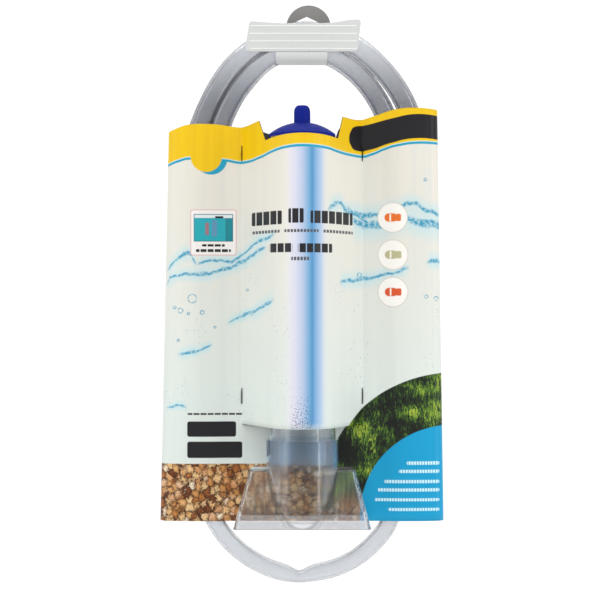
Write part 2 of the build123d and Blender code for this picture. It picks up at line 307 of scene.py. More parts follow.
def plate(tree, place, low, high, corner, soft=0.25):
    """Mask of a rectangle with round corners."""
    step = place
    middle = ((low[0] + high[0]) / 2, 0, (low[1] + high[1]) / 2)
    half = ((high[0] - low[0]) / 2 - corner, 1000, (high[1] - low[1]) / 2 - corner)
    inside, unused = (0, 0, 0), (0, 0, 0)
    steps = (("SUBTRACT", middle), ("ABSOLUTE", unused), ("SUBTRACT", half), ("MAXIMUM", inside))
    for operation, other in steps:
        step = put(tree, "ShaderNodeVectorMath", {0: step, 1: other}, operation=operation).outputs[0]
    away = put(tree, "ShaderNodeVectorMath", {0: step}, operation="LENGTH").outputs["Value"]
    return below(tree, away, corner, soft)


def lay(tree, under, colour, mask):
    """Prints a colour over another where the mask is."""
    return put(tree, "ShaderNodeMix", {0: mask, 6: under, 7: colour}, data_type="RGBA").outputs[2]


def colour_steps(tree, value, stops):
    """A colour ramp from (share, sRGB hex) stops."""
    ramp = put(tree, "ShaderNodeValToRGB", {"Fac": value})
    elements = ramp.color_ramp.elements
    while len(elements) < len(stops):
        elements.new(0.5)
    for element, (share, code) in zip(elements, stops):
        element.position = share
        element.color = paint(code)
    return ramp.outputs[0]


# ---- Stage ------------------------------------------------------------------------------------------
class SIPHON_OT_stage(Operator):
    """Sets up the camera, the pale backdrop and the soft studio light"""

    bl_idname = "siphon.stage"
    bl_label = "Stage"

    def execute(self, context):
        settings = context.scene.siphon.stage
        camera = bpy.data.cameras.new("camera")
        camera.sensor_width = 36
        camera.lens = camera.sensor_width * settings.distance / settings.view_width
        camera.clip_end = 20
        viewer = link_object("camera", camera)
        viewer.location = (settings.camera_x, axis_y - settings.distance, settings.camera_z)
        viewer.rotation_euler = (math.radians(90), 0, 0)
        context.scene.camera = viewer
        # The print's colours are sRGB values, so they are shown without a film curve
        context.scene.view_settings.view_transform = "Standard"
        self.backdrop(settings)
        self.lights(context, settings)
        return {"FINISHED"}

    def backdrop(self, settings):
        """One sheet: a floor that curves up into a wall."""
        floor_z = cad_box[0][2] - settings.floor_gap
        wall_y = settings.wall_gap
        radius, half_width, front, top, bends = 0.5, 3.5, -3.0, 2.6, 24
        profile = [(front, floor_z), (wall_y - radius, floor_z)]
        for i in range(1, bends + 1):
            turn = math.pi / 2 * i / bends
            y = wall_y - radius + radius * math.sin(turn)
            profile.append((y, floor_z + radius * (1 - math.cos(turn))))
        profile.append((wall_y, top))
        vertices = [(side * half_width, y, z) for y, z in profile for side in (-1, 1)]
        faces = [(2 * i, 2 * i + 1, 2 * i + 3, 2 * i + 2) for i in range(len(profile) - 1)]
        # Matt paper: a faint tooth and no gloss
        material, tree = new_material("matt_backdrop_paper")
        tooth = put(tree, "ShaderNodeTexNoise", {"Scale": 400.0, "Detail": 2.0}).outputs["Fac"]
        bump = put(tree, "ShaderNodeBump", {"Strength": 0.02, "Height": tooth}).outputs[0]
        close_material(tree, {"Base Color": settings.sheet_colour, "Roughness": 0.95}, bump)
        mesh_piece("backdrop", vertices, faces, [material])

    def lights(self, context, settings):
        """A pale surround, two tall side panels, a soft top panel and one that whitens the backdrop."""
        world = bpy.data.worlds.new("studio")
        world.use_nodes = True
        background = world.node_tree.nodes["Background"]
        background.inputs["Color"].default_value = (1, 1, 1, 1)
        background.inputs["Strength"].default_value = 0.84
        context.scene.world = world
        object_middle = Vector((axis_x, 0, settings.camera_z))
        backdrop_middle = Vector((0, settings.wall_gap - 0.3, settings.camera_z - 0.1))
        panels = (
            ("left_panel", (-0.95, -0.7, -0.1), (0.4, 1.3), 3.0, object_middle),
            ("right_panel", (0.95, -0.7, -0.1), (0.16, 1.3), 3.6, object_middle),
            ("top_panel", (0.0, -0.9, 0.9), (1.0, 0.4), 1.8, object_middle),
            ("backdrop_panel", (0.0, 0.9, 1.9), (3.0, 0.8), 26, backdrop_middle),
        )
        for name, place, size, power, target in panels:
            lamp = bpy.data.lights.new(name, "AREA")
            lamp.shape = "RECTANGLE"
            lamp.size, lamp.size_y = size
            lamp.energy = power
            holder = link_object(name, lamp)
            holder.location = place
            aim = target - Vector(place)
            holder.rotation_euler = aim.to_track_quat("-Z", "Y").to_euler()


# ---- Hose -------------------------------------------------------------------------------------------
# One and a half turns in the plane of the sleeve, as X and Z in millimetres
hose_route = [
    (-61.5, -368.0), (-69.0, -335.0), (-75.2, -296.0), (-78.2, -251.0), (-78.6, -206.0),
    (-76.8, -163.0), (-73.4, -121.0), (-67.3, -85.6), (-56.0, -61.7), (-45.2, -48.0),
    (-36.0, -38.0), (-26.0, -31.2), (-15.0, -28.0), (-3.5, -27.2), (8.0, -28.0),
    (19.0, -31.3), (29.4, -37.6), (39.8, -45.8), (49.4, -56.9), (58.3, -71.4),
    (65.4, -89.4), (70.4, -113.8), (72.8, -147.0), (75.0, -188.0), (75.8, -233.0),
    (75.4, -279.0), (73.9, -323.0), (70.6, -361.0), (64.8, -389.0), (55.0, -402.8),
    (43.6, -413.6), (31.8, -421.2), (20.0, -426.0), (7.0, -428.6), (-5.8, -432.6),
    (-17.4, -428.8), (-29.0, -425.4), (-41.0, -419.4), (-53.4, -410.8), (-64.8, -398.8),
    (-75.0, -381.0), (-83.8, -357.0), (-91.2, -323.0), (-96.2, -281.0), (-97.8, -232.0),
    (-97.4, -182.0), (-93.6, -134.0), (-86.0, -96.4), (-77.4, -73.4), (-67.6, -54.0),
    (-56.0, -38.0), (-41.6, -26.2), (-26.2, -17.8), (-10.4, -13.4), (5.6, -13.0),
    (21.4, -16.2), (36.8, -22.8), (50.6, -33.9), (63.8, -48.0), (74.4, -64.2),
    (82.0, -83.2), (87.4, -110.2), (91.2, -146.0), (91.8, -188.0), (91.6, -232.0),
    (91.2, -276.0), (89.9, -318.0), (87.0, -356.0),
]  # fmt: skip
hose_kink = (-5.8, -432.6)
sleeve_shade_z = -95.0  # height of the sleeve's mouth, where the vinyl is painted darker as shade from the sleeve's dark inside
sleeve_shade_reach = (28.0, 76.0)  # painted shade in full up to the first distance from there, clear past the second
held_span = (-150.0, -90.0)  # free below the first height, squeezed by sleeve and strap above the second
wall_sides = 28


def smooth_route(points, steps):
    """Points along the NURBS spline with these control points."""
    curve = bpy.data.curves.new("route", "CURVE")
    curve.dimensions = "3D"
    spline = curve.splines.new("NURBS")
    spline.points.add(len(points) - 1)
    for control, place in zip(spline.points, points):
        control.co = (*place, 1.0)
    spline.order_u = 3
    spline.use_endpoint_u = True
    spline.resolution_u = steps
    holder = link_object("route", curve)
    mesh = evaluated_mesh(holder)
    line = [vertex.co.copy() for vertex in mesh.vertices]
    bpy.data.objects.remove(holder)
    bpy.data.curves.remove(curve)
    bpy.data.meshes.remove(mesh)
    return line


def vinyl_material(settings):
    """Clear plasticised vinyl, extruded: glossy, a little smoky, with faint die lines along it, and painted
    shade near the sleeve's mouth.
    """
    material, tree = new_material("extruded_clear_vinyl")
    around = put(tree, "ShaderNodeUVMap", uv_map="along").outputs[0]
    _, _, z = place_mm(tree)
    # Painted shade: the vinyl darkens near the sleeve's mouth, where the hose looks into the sleeve's dark
    # inside
    shade_distance = put(tree, "ShaderNodeMath", {0: z, 1: sleeve_shade_z}, operation="SUBTRACT").outputs[0]
    shade_distance = put(tree, "ShaderNodeMath", {0: shade_distance}, operation="ABSOLUTE").outputs[0]
    near, far = sleeve_shade_reach
    clear = put(tree, "ShaderNodeMapRange", {"Value": shade_distance, "From Min": near, "From Max": far}).outputs[0]
    colour = lay(tree, settings.shade_near_sleeve, settings.colour, clear)
    # The wall is seen along its length at the hose's sides, so they are darker
    turned = put(tree, "ShaderNodeLayerWeight", {"Blend": 0.5}).outputs["Facing"]
    darkening = {"Value": turned, "From Min": 0.3, "From Max": 0.9, "To Max": 0.95}
    turned = put(tree, "ShaderNodeMapRange", darkening).outputs[0]
    colour = lay(tree, colour, paint("#5f646e"), turned)
    stretched = put(tree, "ShaderNodeMapping", {"Vector": around, "Scale": (60.0, 3.0, 1.0)}).outputs[0]
    lines = put(tree, "ShaderNodeTexNoise", {"Vector": stretched, "Scale": 1.0, "Detail": 2.0}).outputs["Fac"]
    cloud = put(tree, "ShaderNodeTexNoise", {"Vector": around, "Scale": 9.0, "Detail": 3.0}).outputs["Fac"]
    rough = put(tree, "ShaderNodeMapRange", {"Value": cloud, "To Min": 0.06, "To Max": 0.16}).outputs[0]
    bump = put(tree, "ShaderNodeBump", {"Strength": 0.06, "Distance": 0.0003, "Height": lines}).outputs[0]
    close_material(
        tree,
        {
            "Base Color": colour,
            "Roughness": rough,
            "IOR": 1.53,
            "Transmission Weight": 0.86,
            "Coat Weight": 0.25,
            "Coat Roughness": 0.06,
        },
        bump,
    )
    return material


def hose_rings(settings, line):
    """Rings of points of the outer and the inner wall, and their places round and along the hose."""
    kink = Vector((hose_kink[0] * MM, hose_y, hose_kink[1] * MM))
    depth_axis = Vector((0, 1, 0))
    free, held_full = held_span
    vertices, around = [], []
    travel = 0.0
    for i, place in enumerate(line):
        before, after = line[max(i - 1, 0)], line[min(i + 1, len(line) - 1)]
        travel += (place - before).length
        sideways = (after - before).normalized().cross(depth_axis)
        fold = math.exp(-(((place - kink).length / settings.kink_reach) ** 2)) * settings.kink_depth
        held = min(max((place.z / MM - free) / (held_full - free), 0), 1)
        fold -= settings.squeeze * held * held * (3 - 2 * held)
        for diameter in (settings.diameter, settings.bore):
            for k in range(wall_sides):
                turn = 2 * math.pi * k / wall_sides
                across = sideways * math.cos(turn) * (1 - fold)
                through = depth_axis * math.sin(turn) * (1 + fold / 2)
                vertices.append(place + diameter / 2 * (across + through))
                around.append((k / wall_sides, travel / (math.pi * settings.diameter)))
    return vertices, around


def hose_faces(ring_count):
    """Faces of the outer wall, the inner wall and the two cut ends."""
    faces = []
    ring = 2 * wall_sides
    last = (ring_count - 1) * ring
    for i in range(ring_count - 1):
        for k in range(wall_sides):
            a, b = i * ring + k, i * ring + (k + 1) % wall_sides
            faces.append((a, b, b + ring, a + ring))
            a, b = a + wall_sides, b + wall_sides
            faces.append((a, a + ring, b + ring, b))
    for k in range(wall_sides):
        k2 = (k + 1) % wall_sides
        faces.append((k, wall_sides + k, wall_sides + k2, k2))
        faces.append((last + k, last + k2, last + wall_sides + k2, last + wall_sides + k))
    return faces


def map_along(mesh, around):
    """A UV map with U round the hose and V along it."""
    layer = mesh.uv_layers.new(name="along")
    for polygon in mesh.polygons:
        corners = [(loop, *around[mesh.loops[loop].vertex_index]) for loop in polygon.loop_indices]
        past_seam = any(u > 0.5 for _, u, _ in corners)
        for loop, u, v in corners:
            layer.data[loop].uv = (u + (u == 0 and past_seam), v)


class SIPHON_OT_hose(Operator):
    """Sweeps the hollow hose along its route, with the fold that its own weight makes at the foot"""

    bl_idname = "siphon.hose"
    bl_label = "Hose"

    def execute(self, context):
        settings = context.scene.siphon.hose
        line = smooth_route([(x * MM, hose_y, z * MM) for x, z in hose_route], settings.steps)
        vertices, around = hose_rings(settings, line)
        piece = mesh_piece("clear_hose", vertices, hose_faces(len(line)), [vinyl_material(settings)])
        map_along(piece.data, around)
        shape = bmesh.new()
        shape.from_mesh(piece.data)
        bmesh.ops.recalc_face_normals(shape, faces=shape.faces)
        shape.to_mesh(piece.data)
        shape.free()
        piece.data.set_sharp_from_angle(angle=math.radians(60))
        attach(piece, "hanger")
        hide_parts("hose")
        return {"FINISHED"}


# ---- Sleeve: the board's shape ----------------------------------------------------------------------
card_top, card_foot, slit_z = -72.0, -388.0, -313.8
left_fold, right_fold = (-105.4, -6.7), (100.2, 4.8)  # X at the card's top, and its spread by the foot
fold_radius = 7.8
fold_inset = fold_radius - 0.3  # from a fold's line in to the fold's centre, less half the board
front_y, back_y = -15.6, 0.0
band_half_width = 46.0
slot_half_width = 0.4
slot_spans = ((-113.3, -101.3), (-298.6, -286.6))
band_radius = (axis_y - band_low[1]) / MM
axis_mm = (axis_x / MM, axis_y / MM)
fold_steps, panel_steps, flank_steps, arc_steps, back_steps = 8, 34, 24, 44, 120

# Die-cut top edges as stretches of X and Z; the edge has a corner where two stretches meet
front_edge = (
    ((-120, -95), (-104.8, -90.2), (-90.2, -85.3), (-69.1, -85.1), (-49.4, -87.4), (-35.9, -85)),
    ((-35.9, -85), (-30.9, -100.5)),
    ((-30.9, -100.5), (-17.5, -98), (-4, -97.1), (9.5, -97.6), (23.2, -99.3)),
    ((23.2, -99.3), (27, -82.4)),
    ((27, -82.4), (38.8, -82.4), (52.2, -78.4), (66, -74), (81.3, -72.3), (110, -74.4)),
)
back_edge = (
    ((-120, -95), (-104.8, -90.2), (-37, -88.6), (-28, -91)),
    ((-28, -91), (-25, -101)),
    ((-25, -101), (20, -101)),
    ((20, -101), (25, -86)),
    ((25, -86), (110, -76)),
)


def edge_height(stretches, x):
    """Height of a cut edge at x: a smooth curve through each stretch's points."""
    stretch = next((s for s in stretches if x <= s[-1][0]), stretches[-1])
    slopes = []
    for i in range(len(stretch)):
        before, after = stretch[max(i - 1, 0)], stretch[min(i + 1, len(stretch) - 1)]
        slopes.append((after[1] - before[1]) / (after[0] - before[0]))
    i = max(k for k in range(len(stretch) - 1) if x >= stretch[k][0] or k == 0)
    (x0, z0), (x1, z1) = stretch[i], stretch[i + 1]
    span = x1 - x0
    t = min(max((x - x0) / span, 0), 1)
    return (
        (2 * t**3 - 3 * t**2 + 1) * z0
        + (t**3 - 2 * t**2 + t) * span * slopes[i]
        + (3 * t**2 - 2 * t**3) * z1
        + (t**3 - t**2) * span * slopes[i + 1]
    )


def fold_edge(fold, z):
    """X of a fold's outermost line at height z."""
    start, spread = fold
    return start + spread * (card_top - z) / (card_top - card_foot)


def bow(x, swell):
    """How far the board bows out over the hose strands at x."""
    strands = ((-85, 19), (80, 19))
    return sum(swell * math.exp(-(((x - centre) / width) ** 4)) for centre, width in strands)


def fold_line(fold, side, face, turn):
    """An upright line round a fold; face is -1 on the front board and 1 on the back board."""

    def place(z):
        centre = fold_edge(fold, z) - side * fold_inset
        return centre + side * fold_radius * math.sin(turn), hose_y / MM + face * fold_radius * math.cos(turn)

    return place, place


def front_line(fold, side, share, swell):
    """An upright line of the front's flat panel, at a share of the way from its fold to the band's slot."""

    def place(z):
        start = fold_edge(fold, z) - side * fold_inset
        end = axis_mm[0] + side * (band_half_width + slot_half_width)
        x = start + (end - start) * share
        return x, front_y - bow(x, swell) * math.sin(math.pi * share) ** 0.5

    return place, place


def band_line(above_slit, x_below):
    """An upright line of the band: bowed out above the slit, flat below it."""
    return (lambda z: above_slit), (lambda z: (x_below, front_y))


def back_line(share):
    """An upright line of the back's flat panel, at a share of the way from the right fold to the left one."""

    def place(z):
        start, end = fold_edge(right_fold, z) - fold_inset, fold_edge(left_fold, z) + fold_inset
        return start + (end - start) * share, back_y

    return place, place


def band_outline():
    """The band in plan, about the barrel's axis: two straight flanks and the arc that they touch."""
    depth = front_y - axis_mm[1]
    reach = math.hypot(band_half_width, depth)
    along, across = band_radius**2 / reach, band_radius * math.sqrt(1 - (band_radius / reach) ** 2)
    touch_x = (along * band_half_width + across * depth) / reach
    touch_y = (along * depth - across * band_half_width) / reach
    run = band_half_width - touch_x
    first = slot_half_width / run
    shares = {first + (1 - first) * i / flank_steps for i in range(flank_steps)}
    for side in (-1, 1):
        for stretch in front_edge[1:]:
            share = (band_half_width - side * (stretch[0][0] - axis_mm[0])) / run
            if first < share < 1:
                shares.add(share)
    flank = [(-band_half_width + share * run, depth + share * (touch_y - depth)) for share in sorted(shares)]
    start_turn = math.atan2(touch_x, -touch_y)
    turns = [-start_turn + 2 * start_turn * i / arc_steps for i in range(arc_steps + 1)]
    arc = [(band_radius * math.sin(turn), -band_radius * math.cos(turn)) for turn in turns]
    return flank + arc + [(-x, y) for x, y in reversed(flank)]


def front_columns(swell):
    """The front board's lines, left to right, as (above the slit, below it), and the band's columns."""
    band = band_outline()
    half = band_half_width - slot_half_width
    columns = [fold_line(left_fold, -1, -1, math.pi / 2 * (1 - i / fold_steps)) for i in range(fold_steps)]
    columns += [front_line(left_fold, -1, i / panel_steps, swell) for i in range(panel_steps + 1)]
    first = len(columns)
    for i, (x, y) in enumerate(band):
        x_below = axis_mm[0] - half + 2 * half * i / (len(band) - 1)
        columns.append(band_line((axis_mm[0] + x, axis_mm[1] + y), x_below))
    columns += [front_line(right_fold, 1, 1 - i / panel_steps, swell) for i in range(panel_steps + 1)]
    columns += [fold_line(right_fold, 1, -1, math.pi / 2 * i / fold_steps) for i in range(1, fold_steps + 1)]
    return columns, (first, first + len(band))


def back_columns():
    """The back board's upright lines, from the right fold to the left one."""
    columns = [fold_line(right_fold, 1, 1, math.pi / 2 * (1 - i / fold_steps)) for i in range(fold_steps)]
    columns += [back_line(i / back_steps) for i in range(back_steps + 1)]
    columns += [fold_line(left_fold, -1, 1, math.pi / 2 * i / fold_steps) for i in range(1, fold_steps + 1)]
    return columns


def board_levels():
    """Heights of the board's rows up to the highest slot's top."""
    rows = 44
    top = slot_spans[0][1]
    levels = {card_foot + (top - card_foot) * i / rows for i in range(rows + 1)}
    levels |= {slit_z, *slot_spans[0], *slot_spans[1]}
    return sorted(levels)


def build_board(name, columns, edge, band, materials, board):
    """A board from its upright lines, cut to its top edge, slit and slotted, and thickened inwards."""
    levels = board_levels()
    top_rows = 12
    slack = 0.01
    vertices, faces, known = [], [], {}

    def vertex(column, row, above):
        in_band = band[0] <= column < band[1]
        key = (column, row, above if in_band else True)
        if key not in known:
            line = columns[column][0 if key[2] else 1]
            if row < len(levels):
                z = levels[row]
            else:
                cut = edge_height(edge, line(card_top)[0])
                z = levels[-1] + (cut - levels[-1]) * (row - len(levels) + 1) / top_rows
            x, y = line(z)
            known[key] = len(vertices)
            vertices.append((x * MM, y * MM, z * MM))
        return known[key]

    for column in range(len(columns) - 1):
        at_slot = column + 1 == band[0] or column + 1 == band[1]
        for row in range(len(levels) + top_rows - 1):
            low = levels[min(row, len(levels) - 1)]
            if at_slot and any(foot - slack < low < top - slack for foot, top in slot_spans):
                continue
            above = low >= slit_z - slack
            corners = [(column, row), (column + 1, row), (column + 1, row + 1), (column, row + 1)]
            faces.append([vertex(*corner, above) for corner in corners])
    piece = mesh_piece(name, vertices, faces, materials)
    piece.data.set_sharp_from_angle(angle=math.radians(25))
    thicken = piece.modifiers.new("board", "SOLIDIFY")
    thicken.thickness = board
    thicken.offset = -1
    thicken.material_offset = 1
    thicken.material_offset_rim = 1
    return piece


# ---- Sleeve: the print ------------------------------------------------------------------------------
# Splashes as (width, points of X and Z)
splash_strokes = (
    (1.7, ((-107, -197), (-101, -190), (-96.4, -185.8), (-92, -183.4), (-88.8, -184.2), (-86.5, -189),
           (-83.6, -191.4))),
    (1.5, ((-83.6, -191.4), (-70.8, -188.9), (-57.3, -189.6), (-43.4, -180.2), (-31.1, -172.8), (-24, -170))),
    (1.7, ((-107, -207.5), (-97.9, -200.1), (-78.3, -199.4), (-58.8, -194.1), (-40.3, -185.5), (-30, -180))),
    (2.4, ((15.5, -152.3), (19, -149), (23, -147.6), (28, -151), (33.9, -153.6), (46.4, -155),
           (59.9, -150.5))),
    (2.4, ((59.9, -150.5), (71.9, -148.3), (77.9, -145.5), (82, -145.2), (88, -149.5), (95, -152.5),
           (106, -154))),
    (3.6, ((33.9, -158.3), (53.9, -162.1), (71.9, -157.3), (90, -161), (106, -162.6))),
    (1.8, ((30, -150), (45, -159), (60, -164.5), (72, -160), (84, -158.5), (106, -165))),
    (1.8, ((24.6, -205.7), (43.4, -203.1), (64.4, -198.6), (77.9, -195.6))),
    (1.9, ((92, -191), (97, -189.4), (106, -189.6))),
    (1.3, ((-12, -217.8), (-7.6, -216.8), (3.9, -213.2), (9, -211.4))),
    (1.9, ((-42, -231), (-40.3, -229.3), (-31.1, -222.6), (-25, -218.2))),
    (1.3, ((-60, -237), (-51.3, -232.1), (-34.1, -226.1))),
    (1.3, ((-98, -261), (-85.8, -257.6), (-72.3, -254.6))),
    (1.1, ((-107, -301.2), (-100.9, -299.7), (-91.9, -302))),
)  # fmt: skip
bubble_rings = (
    ((-87.3, -218.1), 3.6), ((-96.4, -227.2), 2.2), ((-100.9, -224.9), 1.4), ((-79.8, -228.7), 1.8),
    ((-90.3, -229.5), 1.3), ((-45.0, -211.4), 1.2), ((40.2, -200.2), 2.0), ((91.4, -216.6), 1.6),
    ((99.0, -218.1), 1.9), ((90.7, -127.2), 1.4), ((-98.0, -250.0), 1.2), ((-70.0, -240.0), 1.1),
)  # fmt: skip
badge_places = ((65.6, -156.2), (65.9, -184.6), (65.9, -213.1))
yellow_line = (
    (-114, -118), (-104.4, -114.3), (-96, -111.4), (-89.9, -110.1), (-75, -110.6), (-61.6, -111.5),
    (-47.8, -113.3), (-36, -111.6), (-25.8, -108.5), (-14, -105.9), (-3.7, -105.1), (13.3, -106.1),
    (24, -108), (32.2, -108.8), (41, -108.8), (49.1, -107), (60, -102.6), (70.5, -99.7),
    (85, -97.9), (100.3, -98.1), (108, -98.2),
)  # fmt: skip
patch_top = (
    (31.8, -98), (33.2, -92), (36.6, -87.9), (47.6, -85.1),
    (66, -80.3), (82.8, -77.2), (100.3, -78.2), (108, -79),
)  # fmt: skip
patch_foot = (
    (31.8, -98), (33.2, -102.6), (38, -106), (47.6, -104.6),
    (64.4, -99.3), (85, -95.6), (100.3, -96.4), (108, -97),
)  # fmt: skip
picture_top = -344.2  # height of the gravel picture's top, and of the cyan band on the back
teal_width = 2.1
# Small picture of a tank in a pink frame, as (colour, low corner, high corner, corner radius)
tank_plates = (
    ("#d9a9ac", (-88.8, -185.2), (-53.6, -150.1), 2.0), ("#eeeae6", (-88.2, -184.6), (-54.2, -150.7), 1.6),
    ("#2a6f7c", (-86.2, -174.6), (-56.2, -153.6), 0.4), ("#e6eeee", (-85.6, -156.6), (-56.8, -154.2), 0.2),
    ("#22a9b5", (-85.6, -174.0), (-62.0, -156.8), 0.2), ("#168692", (-61.4, -173.6), (-56.8, -156.8), 0.2),
    ("#5c8fae", (-72.5, -170.6), (-68.5, -158.2), 0.6), ("#9b6f78", (-77.4, -169.6), (-74.6, -160.2), 0.4),
)  # fmt: skip
# Plain bars stand where the sleeve has its wording, as (low corner, high corner)
title_bars = (
    ((-41.5, -163.6), (-18.4, -153.6)), ((-13.6, -162.8), (-2.4, -152.2)), ((2.6, -163.0), (34.6, -153.8)),
    ((-28.0, -184.2), (-10.6, -177.6)), ((-6.6, -184.4), (18.6, -177.8)), ((-80.0, -178.4), (-62.4, -176.6)),
    ((-84.6, -182.6), (-57.8, -180.4)), ((-91.1, -306.9), (-49.0, -305.5)),
)  # fmt: skip
thin_bars = (
    ((-41.5, -169.8), (-20.0, -167.6)), ((-16.6, -169.6), (8.6, -167.4)), ((12.0, -169.8), (34.8, -167.6)),
    ((-11.6, -190.2), (1.6, -187.6)),
)  # fmt: skip
note_bars = (
    ((76.4, -345.0), (101.5, -342.4)), ((70.4, -351.2), (101.5, -348.8)), ((59.4, -359.0), (101.5, -356.6)),
    ((54.4, -365.4), (101.5, -363.0)), ((52.0, -372.8), (101.5, -370.6)), ((62.2, -380.2), (101.5, -378.0)),
)  # fmt: skip


def drawn_height(tree, x, points):
    """Height of a drawn line through the points, at each x."""
    xs, zs = [p[0] for p in points], [p[1] for p in points]
    low_z, high_z = min(zs) - 1, max(zs) + 1
    share = put(tree, "ShaderNodeMapRange", {"Value": x, "From Min": xs[0], "From Max": xs[-1]}).outputs[0]
    curve = put(tree, "ShaderNodeFloatCurve", {"Value": share})
    line = curve.mapping.curves[0]
    while len(line.points) < len(points):
        line.points.new(0.5, 0.5)
    for point, (px, pz) in zip(line.points, points):
        point.location = ((px - xs[0]) / (xs[-1] - xs[0]), (pz - low_z) / (high_z - low_z))
    curve.mapping.update()
    return put(
        tree, "ShaderNodeMapRange", {"Value": curve.outputs[0], "To Min": low_z, "To Max": high_z}
    ).outputs[0]  # fmt: skip


def brush(tree, x, z, points, thickness, wobble):
    """Masks of a ragged brush stroke along a drawn line, and of the pale wash round it."""
    height = drawn_height(tree, x, points)
    height = put(tree, "ShaderNodeMath", {0: height, 1: wobble}, operation="ADD").outputs[0]
    away = put(tree, "ShaderNodeMath", {0: z, 1: height}, operation="SUBTRACT").outputs[0]
    away = put(tree, "ShaderNodeMath", {0: away}, operation="ABSOLUTE").outputs[0]
    ends = between(tree, x, points[0][0] + 1, points[-1][0] - 1, 2.0)
    masks = []
    for reach, full in ((thickness, thickness * 0.3), (thickness * 4.5, 0)):
        mask = put(tree, "ShaderNodeMapRange", {"Value": away, "From Min": reach, "From Max": full})
        masks.append(both(tree, mask.outputs[0], ends))
    return masks


def blocks(tree, x, pitch, gap):
    """Mask of upright blocks of one pitch with a gap after each, so that a bar looks like a line of print."""
    share = put(tree, "ShaderNodeMath", {0: x, 1: pitch}, operation="DIVIDE").outputs[0]
    share = put(tree, "ShaderNodeMath", {0: share}, operation="FRACT").outputs[0]
    return below(tree, share, 0.99 - gap, 0.01)


def bar_print(tree, spot, colour, bars, corner, block, code):
    """Plain bars, broken into blocks of one pitch and gap."""
    flat, x, _ = spot
    plates = either(tree, [plate(tree, flat, *bar, corner) for bar in bars])
    return lay(tree, colour, paint(code), both(tree, plates, blocks(tree, x, *block)))


def upright_shade_streaks(tree, flat, scale, detail):
    """Soft upright streaks of painted shade, as a share."""
    combed = put(tree, "ShaderNodeMapping", {"Vector": flat, "Scale": (0.12, 1.0, 0.004)}).outputs[0]
    streaks = put(tree, "ShaderNodeTexNoise", {"Vector": combed, "Scale": scale, "Detail": detail})
    return streaks.outputs["Fac"]


def pebble_print(tree, place):
    """Printed picture of washed gravel: stones 5 to 6 mm across with dark gaps between them."""
    push = put(tree, "ShaderNodeTexNoise", {"Vector": place, "Scale": 0.5, "Detail": 4.0}).outputs["Color"]
    push = put(tree, "ShaderNodeVectorMath", {0: push, "Scale": 5.0}, operation="SCALE").outputs[0]
    place = put(tree, "ShaderNodeVectorMath", {0: place, 1: push}, operation="ADD").outputs[0]
    cells = {"Vector": place, "Scale": 0.19}
    stones = put(tree, "ShaderNodeTexVoronoi", cells)
    value = put(tree, "ShaderNodeSeparateColor", {0: stones.outputs["Color"]}).outputs[0]
    mottle = put(tree, "ShaderNodeTexNoise", {"Vector": place, "Scale": 0.8, "Detail": 4.0}).outputs["Fac"]
    mottle_share = above(tree, mottle, 0.5, 0.1)
    mottle = put(tree, "ShaderNodeMapRange", {"Value": mottle, "To Min": -0.3, "To Max": 0.3}).outputs[0]
    value = put(tree, "ShaderNodeMath", {0: value, 1: mottle}, operation="ADD").outputs[0]
    colour = colour_steps(tree, value, (
        (0.0, "#5a2c10"), (0.16, "#a9642b"), (0.36, "#d39a58"), (0.58, "#ebc892"), (0.78, "#c5803f"),
        (1.0, "#f8e9cb"),
    ))  # fmt: skip
    edges = put(tree, "ShaderNodeTexVoronoi", cells, feature="DISTANCE_TO_EDGE").outputs["Distance"]
    gap = put(tree, "ShaderNodeMapRange", {"Value": edges, "From Max": 0.3, "To Min": 0.85, "To Max": 0.0})
    rounded = {"Value": stones.outputs["Distance"], "From Min": 0.2, "From Max": 0.8, "To Max": 0.7}
    dark = both(tree, put(tree, "ShaderNodeMapRange", rounded).outputs[0], gap.outputs[0])
    mottled_gap = both(tree, gap.outputs[0], mottle_share)
    shadow = put(tree, "ShaderNodeMath", {0: dark, 1: mottled_gap}, operation="ADD")
    return lay(tree, colour, paint("#3b1c0b"), shadow.outputs[0])


def leaf_print(tree, place, x, z):
    """Printed picture of water plants: crossing blades about 1.5 mm wide, dark behind and sunlit on top."""
    blades = []
    for lean, seed in ((0.9, 0.0), (-1.0, 40.0), (0.15, 80.0)):
        grown = {"Location": (seed, 0, seed), "Rotation": (0, lean, 0), "Scale": (0.62, 1.0, 0.17)}
        turned = put(tree, "ShaderNodeMapping", {"Vector": place, **grown}).outputs[0]
        ragged = {"Vector": turned, "Scale": 1.0, "Detail": 6.0, "Distortion": 1.2}
        blades.append(put(tree, "ShaderNodeTexNoise", ragged).outputs["Fac"])
    value = either(tree, blades)
    patch = put(tree, "ShaderNodeTexNoise", {"Vector": place, "Scale": 0.055, "Detail": 3.0}).outputs["Fac"]
    patchy = {"Value": patch, "From Min": 0.3, "From Max": 0.7, "To Min": -0.2, "To Max": 0.12}
    patch = put(tree, "ShaderNodeMapRange", patchy).outputs[0]
    value = put(tree, "ShaderNodeMath", {0: value, 1: patch}, operation="ADD").outputs[0]
    sunlit = disc(tree, place, (100, -300), 10, 14)
    sunlit = put(tree, "ShaderNodeMath", {0: sunlit, 1: 0.12}, operation="MULTIPLY").outputs[0]
    value = put(tree, "ShaderNodeMath", {0: value, 1: sunlit}, operation="ADD").outputs[0]
    colour = colour_steps(tree, value, (
        (0.42, "#090d07"), (0.52, "#17260f"), (0.59, "#33521b"), (0.66, "#628729"), (0.74, "#a3b338"),
        (0.86, "#dcd45a"),
    ))  # fmt: skip
    gravel_foot = both(tree, below(tree, z, -371, 5), between(tree, x, 20, 62, 4))
    colour = lay(tree, colour, pebble_print(tree, place), gravel_foot)
    return lay(tree, colour, paint("#0c110c"), disc(tree, place, (25, -330), 8, 6))


